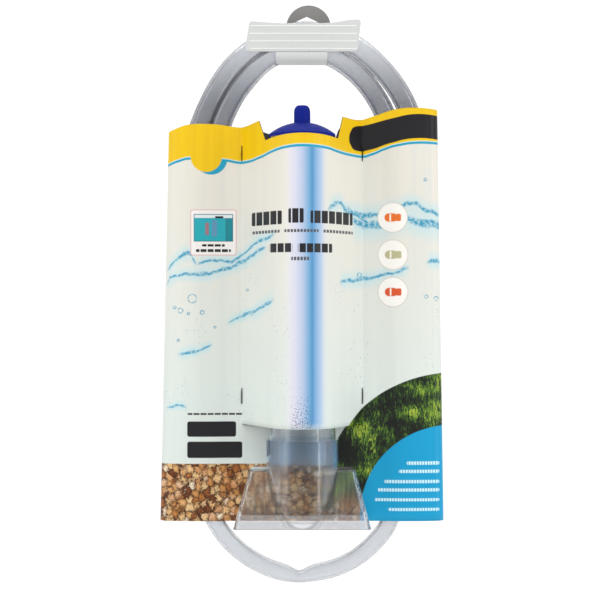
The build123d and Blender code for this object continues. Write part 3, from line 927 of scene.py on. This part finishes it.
def ground_print(tree, settings, spot):
    """Warm white above, cool white below, with faint painted upright shade."""
    flat, _, z = spot
    colour = lay(tree, settings.mist, settings.white, above(tree, z, -220, 70))
    # Painted shade: faint grey upright streaks over the white
    shade_streak = upright_shade_streaks(tree, flat, 1.0, 3.0)
    faint = {"Value": shade_streak, "From Min": 0.4, "From Max": 0.75, "To Max": 0.35}
    return lay(tree, colour, paint("#cfd6d4"), put(tree, "ShaderNodeMapRange", faint).outputs[0])


def splash_print(tree, settings, spot, colour):
    """Ragged splashes in a pale wash, rings of bubbles, and fine spray."""
    flat, x, z = spot
    ragged = put(tree, "ShaderNodeTexNoise", {"Vector": flat, "Scale": 0.09, "Detail": 2.0}).outputs["Fac"]
    sway = {"Value": ragged, "From Min": 0.3, "From Max": 0.7, "To Min": -1.5, "To Max": 1.5}
    wobble = put(tree, "ShaderNodeMapRange", sway).outputs[0]
    strokes = [brush(tree, x, z, points, width, wobble) for width, points in splash_strokes]
    breaks = put(tree, "ShaderNodeTexNoise", {"Vector": flat, "Scale": 0.45, "Detail": 3.0}).outputs["Fac"]
    broken = {"Value": breaks, "From Min": 0.36, "From Max": 0.55, "To Min": 0.25}
    breaks = put(tree, "ShaderNodeMapRange", broken).outputs[0]
    wash = both(tree, either(tree, [wash for _, wash in strokes]), 0.6)
    colour = lay(tree, colour, paint("#a9dbe6"), wash)
    splash = both(tree, either(tree, [body for body, _ in strokes]), breaks)
    colour = lay(tree, colour, settings.water, splash)
    rings = []
    for centre, radius in bubble_rings:
        outer, inner = disc(tree, flat, centre, radius), disc(tree, flat, centre, radius - 0.7)
        rings.append(put(tree, "ShaderNodeMath", {0: outer, 1: inner}, operation="SUBTRACT").outputs[0])
    colour = lay(tree, colour, settings.water, both(tree, either(tree, rings), breaks))
    drops = put(tree, "ShaderNodeTexVoronoi", {"Vector": flat, "Scale": 0.42}).outputs["Distance"]
    spray = put(tree, "ShaderNodeTexNoise", {"Vector": flat, "Scale": 0.035, "Detail": 2.0}).outputs["Fac"]
    drops = both(tree, below(tree, drops, 0.13, 0.03), above(tree, spray, 0.57, 0.05))
    return lay(tree, colour, settings.water, both(tree, drops, between(tree, z, -330, -195, 12)))


def beam_print(tree, _, spot, colour):
    """Upright beam of blue over the barrel, which breaks into specks at its foot."""
    flat, x, z = spot
    beam = put(tree, "ShaderNodeMapRange", {"Value": x, "From Min": -16.0, "From Max": 16.0}).outputs[0]
    beam_colour = colour_steps(tree, beam, (
        (0.0, "#e2e0e6"), (0.22, "#d6d6e4"), (0.4, "#b4c2dc"), (0.54, "#78a9cf"), (0.62, "#4f8fc2"),
        (0.74, "#8fb4d8"), (1.0, "#d9dce6"),
    ))  # fmt: skip
    beam_mask = both(tree, between(tree, x, -13.5, 12.5, 2.6), between(tree, z, slit_z + 1, -104, 4))
    colour = lay(tree, colour, beam_colour, beam_mask)
    specks = put(tree, "ShaderNodeTexNoise", {"Vector": flat, "Scale": 1.1, "Detail": 2.0}).outputs["Fac"]
    thinning = {"Value": z, "From Min": -316, "From Max": -276, "To Min": 0.53, "To Max": 0.72}
    least = put(tree, "ShaderNodeMapRange", thinning).outputs[0]
    specks = put(tree, "ShaderNodeMath", {0: specks, 1: least}, operation="GREATER_THAN").outputs[0]
    speck_field = both(tree, between(tree, x, -11.5, 3.5, 2.0), between(tree, z, slit_z, -276, 1))
    return lay(tree, colour, paint("#39405c"), both(tree, specks, speck_field))


def tank_print(tree, settings, spot, colour):
    """Small picture of a tank, in a pink frame."""
    for code, *box in tank_plates:
        colour = lay(tree, colour, paint(code), plate(tree, spot[0], *box))
    return lay(tree, colour, settings.ink, plate(tree, spot[0], (-70.0, -156.8), (-63.6, -155.2), 0.8))


def wording_print(tree, settings, spot, colour):
    """Dark and grey bars where wording would be, and two plain black labels."""
    colour = bar_print(tree, spot, colour, title_bars, 1.0, (5.4, 0.14), "#1d1d21")
    colour = bar_print(tree, spot, colour, thin_bars, 0.8, (2.4, 0.25), "#55555a")
    boxes = (((-91.2, -323.6), (-53.9, -311.9)), ((-91.2, -339.8), (-49.2, -327.3)))
    labels = [plate(tree, spot[0], *box, 1.8) for box in boxes]
    return lay(tree, colour, settings.ink, either(tree, labels))


def badge_print(tree, _, spot, colour):
    """Three round badges with plain fish shapes."""
    flat = spot[0]
    for centre, code in zip(badge_places, ("#e5702a", "#b9b58f", "#d8552a")):
        cx, cz = centre
        colour = lay(tree, colour, paint("#cfc9c0"), disc(tree, flat, centre, 11.6))
        colour = lay(tree, colour, paint("#f4f1ea"), disc(tree, flat, centre, 11.0))
        body = plate(tree, flat, (cx - 6.2, cz - 3.2), (cx + 3.6, cz + 3.2), 3.1)
        tail = plate(tree, flat, (cx + 2.2, cz - 2.8), (cx + 6.4, cz + 2.8), 1.2)
        colour = lay(tree, colour, paint(code), either(tree, [body, tail]))
        stripe = plate(tree, flat, (cx - 2.4, cz - 2.8), (cx - 1.2, cz + 2.8), 0.5)
        colour = lay(tree, colour, paint("#faf2e4"), stripe)
    return colour


def foot_print(tree, settings, spot, colour):
    """Pictures along the foot: gravel, water plants, and a cyan corner with note bars."""
    flat, x, z = spot
    colour = lay(tree, colour, pebble_print(tree, flat), below(tree, z, picture_top, 0.3))
    picture = both(tree, disc(tree, flat, (111.0, -375.8), 101.0), between(tree, z, -380, -200, 1))
    colour = lay(tree, colour, leaf_print(tree, flat, x, z), picture)
    colour = lay(tree, colour, settings.cyan, disc(tree, flat, (109.5, -383.5), 68.6))
    return bar_print(tree, spot, colour, note_bars, 0.9, (2.1, 0.22), "#cdeef7")


def top_print(tree, settings, spot, colour):
    """Yellow top with its teal and pale lines, round sun and black patch."""
    flat, x, z = spot
    height = drawn_height(tree, x, yellow_line)
    over = put(tree, "ShaderNodeMath", {0: z, 1: height}, operation="SUBTRACT").outputs[0]
    sun_shadow = disc(tree, flat, (-72.9, -111.2), 12.3)
    colour = lay(tree, colour, settings.teal, either(tree, [above(tree, over, -teal_width), sun_shadow]))
    colour = lay(tree, colour, paint("#d9eef2"), above(tree, over, -0.2))
    # Painted shade: darker orange upright streaks in the yellow
    yellow = lay(tree, settings.yellow, paint("#e3b403"), upright_shade_streaks(tree, flat, 2.0, 2.0))
    sun = disc(tree, flat, (-76.7, -109.6), 11.9)
    colour = lay(tree, colour, yellow, either(tree, [above(tree, over, 0.3), sun]))
    patch_low, patch_high = drawn_height(tree, x, patch_foot), drawn_height(tree, x, patch_top)
    patch = both(tree, above(tree, z, patch_low), below(tree, z, patch_high))
    return lay(tree, colour, settings.ink, both(tree, patch, between(tree, x, 31.8, 120, 0.2)))


def varnished_board(name):
    """An empty printed board material, its surface point, and the point laid flat with its X and Z."""
    material, tree = new_material(name)
    point, x, z = place_mm(tree)
    return material, tree, point, (put(tree, "ShaderNodeCombineXYZ", {"X": x, "Z": z}).outputs[0], x, z)


def varnish(tree, point, colour):
    """Coated paperboard under a thin varnish: smooth, with a soft gloss and a trace of its fibres."""
    fibres = put(tree, "ShaderNodeTexNoise", {"Vector": point, "Scale": 1.4, "Detail": 4.0}).outputs["Fac"]
    bump = put(tree, "ShaderNodeBump", {"Strength": 0.05, "Distance": 0.0002, "Height": fibres}).outputs[0]
    rough = put(tree, "ShaderNodeMapRange", {"Value": fibres, "To Min": 0.34, "To Max": 0.48}).outputs[0]
    gloss = {"Roughness": rough, "IOR": 1.5, "Specular IOR Level": 0.3}
    close_material(tree, {"Base Color": colour, **gloss}, bump)


def print_front(settings):
    """The sleeve's front, printed layer over layer and varnished."""
    material, tree, point, spot = varnished_board("printed_coated_board")
    colour = ground_print(tree, settings, spot)
    layers = (splash_print, beam_print, tank_print, wording_print, badge_print, foot_print, top_print)
    for layer in layers:
        colour = layer(tree, settings, spot, colour)
    varnish(tree, point, colour)
    return material


def print_back(settings):
    """The same varnished board, with the plainer print of its back: rows of bars and colour bands."""
    material, tree, point, spot = varnished_board("printed_coated_board_back")
    flat, _, z = spot
    row_count, row_pitch, row_height, row_reach = 14, 9.0, 3.4, 70.0
    colour = lay(tree, settings.mist, settings.white, above(tree, z, -240, 120))
    rows = []
    for i in range(row_count):
        row_z, short = -150.0 - row_pitch * i, 26.0 * (i * 7 % 5) / 4
        rows.append(plate(tree, flat, (-row_reach, row_z), (row_reach - short, row_z + row_height), 1.4))
    colour = lay(tree, colour, paint("#8d9396"), either(tree, rows))
    colour = lay(tree, colour, settings.cyan, below(tree, z, picture_top, 0.3))
    colour = lay(tree, colour, settings.teal, above(tree, z, -113.35))
    colour = lay(tree, colour, settings.yellow, above(tree, z, -112.05))
    varnish(tree, point, colour)
    return material


def raw_board(settings):
    """Unprinted inside of recycled board: matt grey with short fibres, its grey darkened as painted shade for
    the inside of the sleeve.
    """
    material, tree = new_material("uncoated_grey_board_painted_shade")
    point, _, _ = place_mm(tree)
    fibres = put(tree, "ShaderNodeTexNoise", {"Vector": point, "Scale": 1.8, "Detail": 5.0}).outputs["Fac"]
    colour = lay(tree, settings.inside, paint("#3f3c38"), fibres)
    bump = put(tree, "ShaderNodeBump", {"Strength": 0.15, "Distance": 0.0002, "Height": fibres}).outputs[0]
    close_material(tree, {"Base Color": colour, "Roughness": 0.85}, bump)
    return material


class SIPHON_OT_sleeve(Operator):
    """Folds the printed board: front with the band round the barrel, and back"""

    bl_idname = "siphon.sleeve"
    bl_label = "Card sleeve"

    def execute(self, context):
        settings = context.scene.siphon.sleeve
        raw = raw_board(settings)
        columns, band = front_columns(settings.swell / MM)
        printed = [print_front(settings), raw]
        front = build_board("sleeve_front", columns, front_edge, band, printed, settings.board)
        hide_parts("card_front", "card_band")
        printed = [print_back(settings), raw]
        back = build_board("sleeve_back", back_columns(), back_edge, (0, 0), printed, settings.board)
        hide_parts("card_back")
        for piece in (front, back):
            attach(piece, "sleeve")
        return {"FINISHED"}


# ---- Hanger -----------------------------------------------------------------------------------------
flap_top = ((-44.1, -5.9), (-32, -6.9), (-16, -7.7), (6, -7.7), (19, -7.2), (31, -5.3), (41.5, -4.6))
flap_foot_left, flap_foot_right, flap_foot_z = -47.1, 39.2, -29.3
flap_corner = 2.2
flap_thickness = 0.9 * MM
first_rib_drop = 4.6 * MM


def milky_material(name, colour):
    """Natural polypropylene, moulded thin: milky and translucent, with a satin skin."""
    material, tree = new_material(name)
    point, _, _ = place_mm(tree)
    haze = put(tree, "ShaderNodeTexNoise", {"Vector": point, "Scale": 0.2, "Detail": 3.0}).outputs["Fac"]
    rough = put(tree, "ShaderNodeMapRange", {"Value": haze, "To Min": 0.22, "To Max": 0.38}).outputs[0]
    grain = put(tree, "ShaderNodeTexNoise", {"Vector": point, "Scale": 2.5, "Detail": 2.0}).outputs["Fac"]
    bump = put(tree, "ShaderNodeBump", {"Strength": 0.04, "Distance": 0.0001, "Height": grain}).outputs[0]
    close_material(
        tree,
        {
            "Base Color": colour,
            "Roughness": rough,
            "IOR": 1.49,
            "Subsurface Weight": 0.35,
            "Subsurface Radius": (0.002, 0.002, 0.002),
        },
        bump,
    )
    return material


def tab_material(settings):
    """The same polypropylene with a grey tint in the tab's disc, which fades to milky down the strap."""
    material, tree = new_material("moulded_tinted_polypropylene")
    point, _, z = place_mm(tree)
    grain = put(tree, "ShaderNodeTexNoise", {"Vector": point, "Scale": 1.5, "Detail": 4.0}).outputs["Fac"]
    disc_colour = lay(tree, settings.tab, paint("#7f7e7c"), grain)
    colour = lay(tree, settings.milky, disc_colour, above(tree, z, -11.5, 2.5))
    bump = put(tree, "ShaderNodeBump", {"Strength": 0.1, "Distance": 0.0002, "Height": grain}).outputs[0]
    close_material(tree, {"Base Color": colour, "Roughness": 0.38, "IOR": 1.49}, bump)
    return material


def flap_sheet():
    """The flap's front face: rows of points between its foot and its wavy top, with round corners."""
    columns, rows = 90, 26
    top_width = flap_top[-1][0] - flap_top[0][0]
    vertices, faces = [], []
    for c in range(columns + 1):
        share = c / columns
        foot_x = flap_foot_left + (flap_foot_right - flap_foot_left) * share
        top_x = flap_top[0][0] + top_width * share
        inset = min(share, 1 - share) * top_width
        trim = 0.0
        if inset < flap_corner:
            trim = flap_corner - math.sqrt(flap_corner**2 - (flap_corner - inset) ** 2)
        low_z, high_z = flap_foot_z + trim, edge_height((flap_top,), top_x) - trim
        for r in range(rows + 1):
            rise = r / rows
            x = foot_x + (top_x - foot_x) * rise
            vertices.append((x * MM, flap_high[1] - flap_thickness, (low_z + (high_z - low_z) * rise) * MM))
    for c in range(columns):
        for r in range(rows):
            a = c * (rows + 1) + r
            faces.append((a, a + rows + 1, a + rows + 2, a + 1))
    return vertices, faces


def rib_tree(material):
    """Geometry Nodes: round-backed ribs of one length, one under the other."""
    tree = bpy.data.node_groups.new("flap_ribs", "GeometryNodeTree")
    sizes = (
        ("Count", "NodeSocketInt"), ("Pitch", "NodeSocketFloat"), ("Length", "NodeSocketFloat"),
        ("Width", "NodeSocketFloat"), ("Height", "NodeSocketFloat"),
    )  # fmt: skip
    for name, kind in sizes:
        tree.interface.new_socket(name, in_out="INPUT", socket_type=kind)
    tree.interface.new_socket("Geometry", in_out="OUTPUT", socket_type="NodeSocketGeometry")
    given = put(tree, "NodeGroupInput").outputs
    down = put(tree, "ShaderNodeMath", {0: given["Pitch"], 1: -1.0}, operation="MULTIPLY").outputs[0]
    step = put(tree, "ShaderNodeCombineXYZ", {"Z": down}).outputs[0]
    points = put(tree, "GeometryNodeMeshLine", {"Count": given["Count"], "Offset": step}).outputs[0]
    half = put(tree, "ShaderNodeMath", {0: given["Length"], 1: 0.5}, operation="MULTIPLY").outputs[0]
    back = put(tree, "ShaderNodeMath", {0: half, 1: -1.0}, operation="MULTIPLY").outputs[0]
    start = put(tree, "ShaderNodeCombineXYZ", {"X": back}).outputs[0]
    end = put(tree, "ShaderNodeCombineXYZ", {"X": half}).outputs[0]
    spine = put(tree, "GeometryNodeCurvePrimitiveLine", {"Start": start, "End": end}).outputs[0]
    radius = put(tree, "ShaderNodeMath", {0: given["Width"], 1: 0.5}, operation="MULTIPLY").outputs[0]
    section = put(tree, "GeometryNodeCurvePrimitiveCircle", {"Resolution": 16, "Radius": radius}).outputs[0]
    rib = put(tree, "GeometryNodeCurveToMesh", {"Curve": spine, "Profile Curve": section, "Fill Caps": True})
    flatten = put(tree, "ShaderNodeMath", {0: given["Height"], 1: radius}, operation="DIVIDE").outputs[0]
    scale = put(tree, "ShaderNodeCombineXYZ", {"X": 1.0, "Y": flatten, "Z": 1.0}).outputs[0]
    flat_rib = put(tree, "GeometryNodeTransform", {"Geometry": rib.outputs[0], "Scale": scale}).outputs[0]
    copies = put(tree, "GeometryNodeInstanceOnPoints", {"Points": points, "Instance": flat_rib}).outputs[0]
    solid = put(tree, "GeometryNodeRealizeInstances", {"Geometry": copies}).outputs[0]
    painted = put(tree, "GeometryNodeSetMaterial", {"Geometry": solid, "Material": material}).outputs[0]
    put(tree, "NodeGroupOutput", {"Geometry": painted})
    return tree


def geometry_piece(name, tree, values, offset):
    """Runs a Geometry Nodes tree with the given inputs and returns its result as a plain mesh piece."""
    holder = link_object(name, bpy.data.meshes.new(name))
    modifier = holder.modifiers.new("shape", "NODES")
    modifier.node_group = tree
    for item in tree.interface.items_tree:
        if item.in_out == "INPUT" and item.name in values:
            modifier[item.identifier] = values[item.name]
    mesh = evaluated_mesh(holder)
    mesh.name = name
    holder.modifiers.clear()
    holder.data = mesh
    for vertex in mesh.vertices:
        vertex.co += Vector(offset)
    return holder


class SIPHON_OT_hanger(Operator):
    """Makes the ribbed flap and finishes the hang tab"""

    bl_idname = "siphon.hanger"
    bl_label = "Hanger"

    def execute(self, context):
        settings = context.scene.siphon.hanger
        milky = milky_material("moulded_natural_polypropylene", settings.milky)
        # Painted highlight: a lighter copy of the flap's material for the ribs
        rib_highlight = milky_material("thick_polypropylene_painted_highlight", settings.rib_highlight)
        flap = mesh_piece("ribbed_flap", *flap_sheet(), [milky])
        thicken = flap.modifiers.new("sheet", "SOLIDIFY")
        thicken.thickness = flap_thickness
        thicken.offset = -1
        edge = flap.modifiers.new("soft_edge", "BEVEL")
        edge.width = 0.2 * MM
        edge.segments = 2
        edge.limit_method = "ANGLE"
        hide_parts("hanger_flap")
        ribs = geometry_piece(
            "flap_ribs", rib_tree(rib_highlight),
            {
                "Count": settings.rib_count,
                "Pitch": settings.rib_pitch,
                "Length": flap_high[0] - flap_low[0] - 2 * settings.rib_margin,
                "Width": settings.rib_width,
                "Height": settings.rib_height,
            },
            ((flap_low[0] + flap_high[0]) / 2, flap_high[1] - flap_thickness, flap_high[2] - first_rib_drop),
        )  # fmt: skip
        ribs.data.shade_smooth()
        for piece in (flap, ribs):
            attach(piece, "flap")
        tab = polished_copy("hang_tab", "grey_hang_tab", tab_material(settings))
        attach(tab, "hanger")
        return {"FINISHED"}


# ---- Clear parts ------------------------------------------------------------------------------------
neck_radius = 27.1
shoulder_z, shoulder_drop = -345.0, 0.5  # where the double-walled socket ends and the wedge starts
lip_z = -380.0
crease_shade_strip = (0.12, 1.1)  # painted shade: a dark line for the shading at the moulded corner, as distances out from the neck's radius


def clear_material(name, colour, tint, flow):
    """Clear moulded or extruded styrene: thin walls seen straight through, denser where they turn away, with
    painted shade along the nozzle's moulded corner and in its socket.
    """
    material, tree = new_material(name)
    point, _, z = place_mm(tree)
    double_wall_shade = above(tree, z, shoulder_z, 1.5)
    # Painted shade: the socket colour above the shoulder; the same mask also makes the double wall denser
    shade = lay(tree, colour, tint, double_wall_shade)
    lip = below(tree, z, lip_z, 1.5)
    shade = lay(tree, shade, paint("#b4b9c2"), lip)
    middle = (axis_x / MM, axis_y / MM, 0)
    level = put(tree, "ShaderNodeVectorMath", {0: point, 1: (1, 1, 0)}, operation="MULTIPLY").outputs[0]
    away = put(tree, "ShaderNodeVectorMath", {0: level, 1: middle}, operation="DISTANCE").outputs["Value"]
    strip = between(tree, away, neck_radius + crease_shade_strip[0], neck_radius + crease_shade_strip[1], 0.08)
    corner = both(tree, strip, below(tree, z, shoulder_z - shoulder_drop, 0.5))
    # Painted shade: a dark grey line along the moulded corner where the neck meets the wedge
    shade = lay(tree, shade, paint("#69717d"), corner)
    dense = either(tree, [double_wall_shade, lip, corner])
    least = put(tree, "ShaderNodeMapRange", {"Value": dense, "To Min": 0.2, "To Max": 0.5}).outputs[0]
    turned = put(tree, "ShaderNodeLayerWeight", {"Blend": 0.5}).outputs["Facing"]
    solid = put(tree, "ShaderNodeMapRange", {"Value": turned, "From Max": 0.8, "To Min": least})
    drawn = put(tree, "ShaderNodeMapping", {"Vector": point, "Scale": flow}).outputs[0]
    lines = put(tree, "ShaderNodeTexNoise", {"Vector": drawn, "Scale": 1.0, "Detail": 2.0}).outputs["Fac"]
    rough = put(tree, "ShaderNodeMapRange", {"Value": lines, "To Min": 0.0, "To Max": 0.012}).outputs[0]
    bump = put(tree, "ShaderNodeBump", {"Strength": 0.02, "Distance": 0.0001, "Height": lines}).outputs[0]
    close_material(
        tree,
        {
            "Base Color": shade,
            "Roughness": rough,
            "IOR": 1.5,
            "Transmission Weight": 1.0,
            "Coat Weight": 0.6,
            "Alpha": solid.outputs[0],
        },
        bump,
    )
    return material


class SIPHON_OT_barrel(Operator):
    """Finishes the clear barrel and nozzle"""

    bl_idname = "siphon.barrel"
    bl_label = "Barrel and nozzle"

    def execute(self, context):
        settings = context.scene.siphon.clear
        drawn, flowed = (0.3, 0.3, 0.02), (0.08, 0.08, 0.05)
        barrel_skin = clear_material("extruded_clear_styrene", settings.barrel, settings.barrel, drawn)
        barrel = polished_copy("gravel_tube", "clear_barrel", barrel_skin)
        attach(barrel, "barrel")
        nozzle_skin = clear_material("moulded_clear_styrene", settings.nozzle, settings.socket, flowed)
        nozzle = polished_copy("nozzle", "clear_nozzle", nozzle_skin, crease=14, round_off=0.5 * MM)
        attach(nozzle, "nozzle")
        return {"FINISHED"}


# ---- Cap and valve ----------------------------------------------------------------------------------
def blue_material(settings):
    """Polypropylene coloured royal blue, moulded with a satin skin and slight orange peel."""
    material, tree = new_material("moulded_blue_polypropylene")
    point, _, _ = place_mm(tree)
    peel = put(tree, "ShaderNodeTexNoise", {"Vector": point, "Scale": 0.5, "Detail": 3.0}).outputs["Fac"]
    colour = lay(tree, settings.blue, paint("#0a1a74"), peel)
    rough = put(tree, "ShaderNodeMapRange", {"Value": peel, "To Min": 0.5, "To Max": 0.62}).outputs[0]
    bump = put(tree, "ShaderNodeBump", {"Strength": 0.06, "Distance": 0.0003, "Height": peel}).outputs[0]
    skin = {"Roughness": rough, "IOR": 1.49, "Specular IOR Level": 0.12}
    close_material(tree, {"Base Color": colour, **skin}, bump)
    return material


def plain_moulding(name, colour, roughness, grain_scale):
    """A matt to satin moulding with a fine grain: nitrile rubber or white acetal."""
    material, tree = new_material(name)
    point, _, _ = place_mm(tree)
    grain = put(tree, "ShaderNodeTexNoise", {"Vector": point, "Scale": grain_scale, "Detail": 3.0})
    grain = grain.outputs["Fac"]
    spread = 0.07
    worn = {"Value": grain, "To Min": roughness - spread, "To Max": roughness + spread}
    rough = put(tree, "ShaderNodeMapRange", worn)
    bump = put(tree, "ShaderNodeBump", {"Strength": 0.1, "Distance": 0.0002, "Height": grain}).outputs[0]
    close_material(tree, {"Base Color": colour, "Roughness": rough.outputs[0], "IOR": 1.49}, bump)
    return material


class SIPHON_OT_cap(Operator):
    """Finishes the cap, its seal and the ball valve inside it"""

    bl_idname = "siphon.cap"
    bl_label = "Cap and valve"

    def execute(self, context):
        settings = context.scene.siphon.cap
        blue = blue_material(settings)
        rubber = plain_moulding("moulded_nitrile_rubber", settings.rubber, 0.6, 2.0)
        white = plain_moulding("moulded_white_acetal", settings.valve, 0.35, 1.2)
        for node, name, body, slot, material in (
            ("cap", "blue_cap", "cap", "blue_plastic", blue),
            ("cap_seal", "rubber_seal", "cap", "seal_rubber", rubber),
            ("valve_seat", "white_valve_seat", "cap", "valve_plastic", white),
            ("ball_cage", "white_ball_cage", "cap", "valve_plastic", white),
            ("valve_ball", "white_valve_ball", "ball", "valve_plastic", white),
        ):
            piece = polished_copy(node, name, material)
            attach(piece, body)
        return {"FINISHED"}


# ---- Panel and registration -------------------------------------------------------------------------
piece_operators = (
    SIPHON_OT_stage, SIPHON_OT_hose, SIPHON_OT_sleeve, SIPHON_OT_hanger, SIPHON_OT_barrel, SIPHON_OT_cap,
)  # fmt: skip


class SIPHON_PT_panel(Panel):
    """Lists the siphon's pieces"""

    bl_label = "Gravel vacuum siphon"
    bl_space_type = "VIEW_3D"
    bl_region_type = "UI"
    bl_category = "Siphon"

    def draw(self, context):
        for operator in piece_operators:
            self.layout.operator(operator.bl_idname)


setting_groups = (
    StageSettings, HoseSettings, SleeveSettings, HangerSettings, ClearSettings, CapSettings, SiphonSettings,
)  # fmt: skip
classes = (*setting_groups, *piece_operators, SIPHON_PT_panel)


def register():
    for item in classes:
        bpy.utils.register_class(item)
    bpy.types.Scene.siphon = PointerProperty(type=SiphonSettings)


def unregister():
    del bpy.types.Scene.siphon
    for item in reversed(classes):
        bpy.utils.unregister_class(item)


def main():
    """Builds every piece."""
    register()
    for operator in piece_operators:
        group, name = operator.bl_idname.split(".")
        getattr(getattr(bpy.ops, group), name)()


if __name__ == "__main__":
    main()
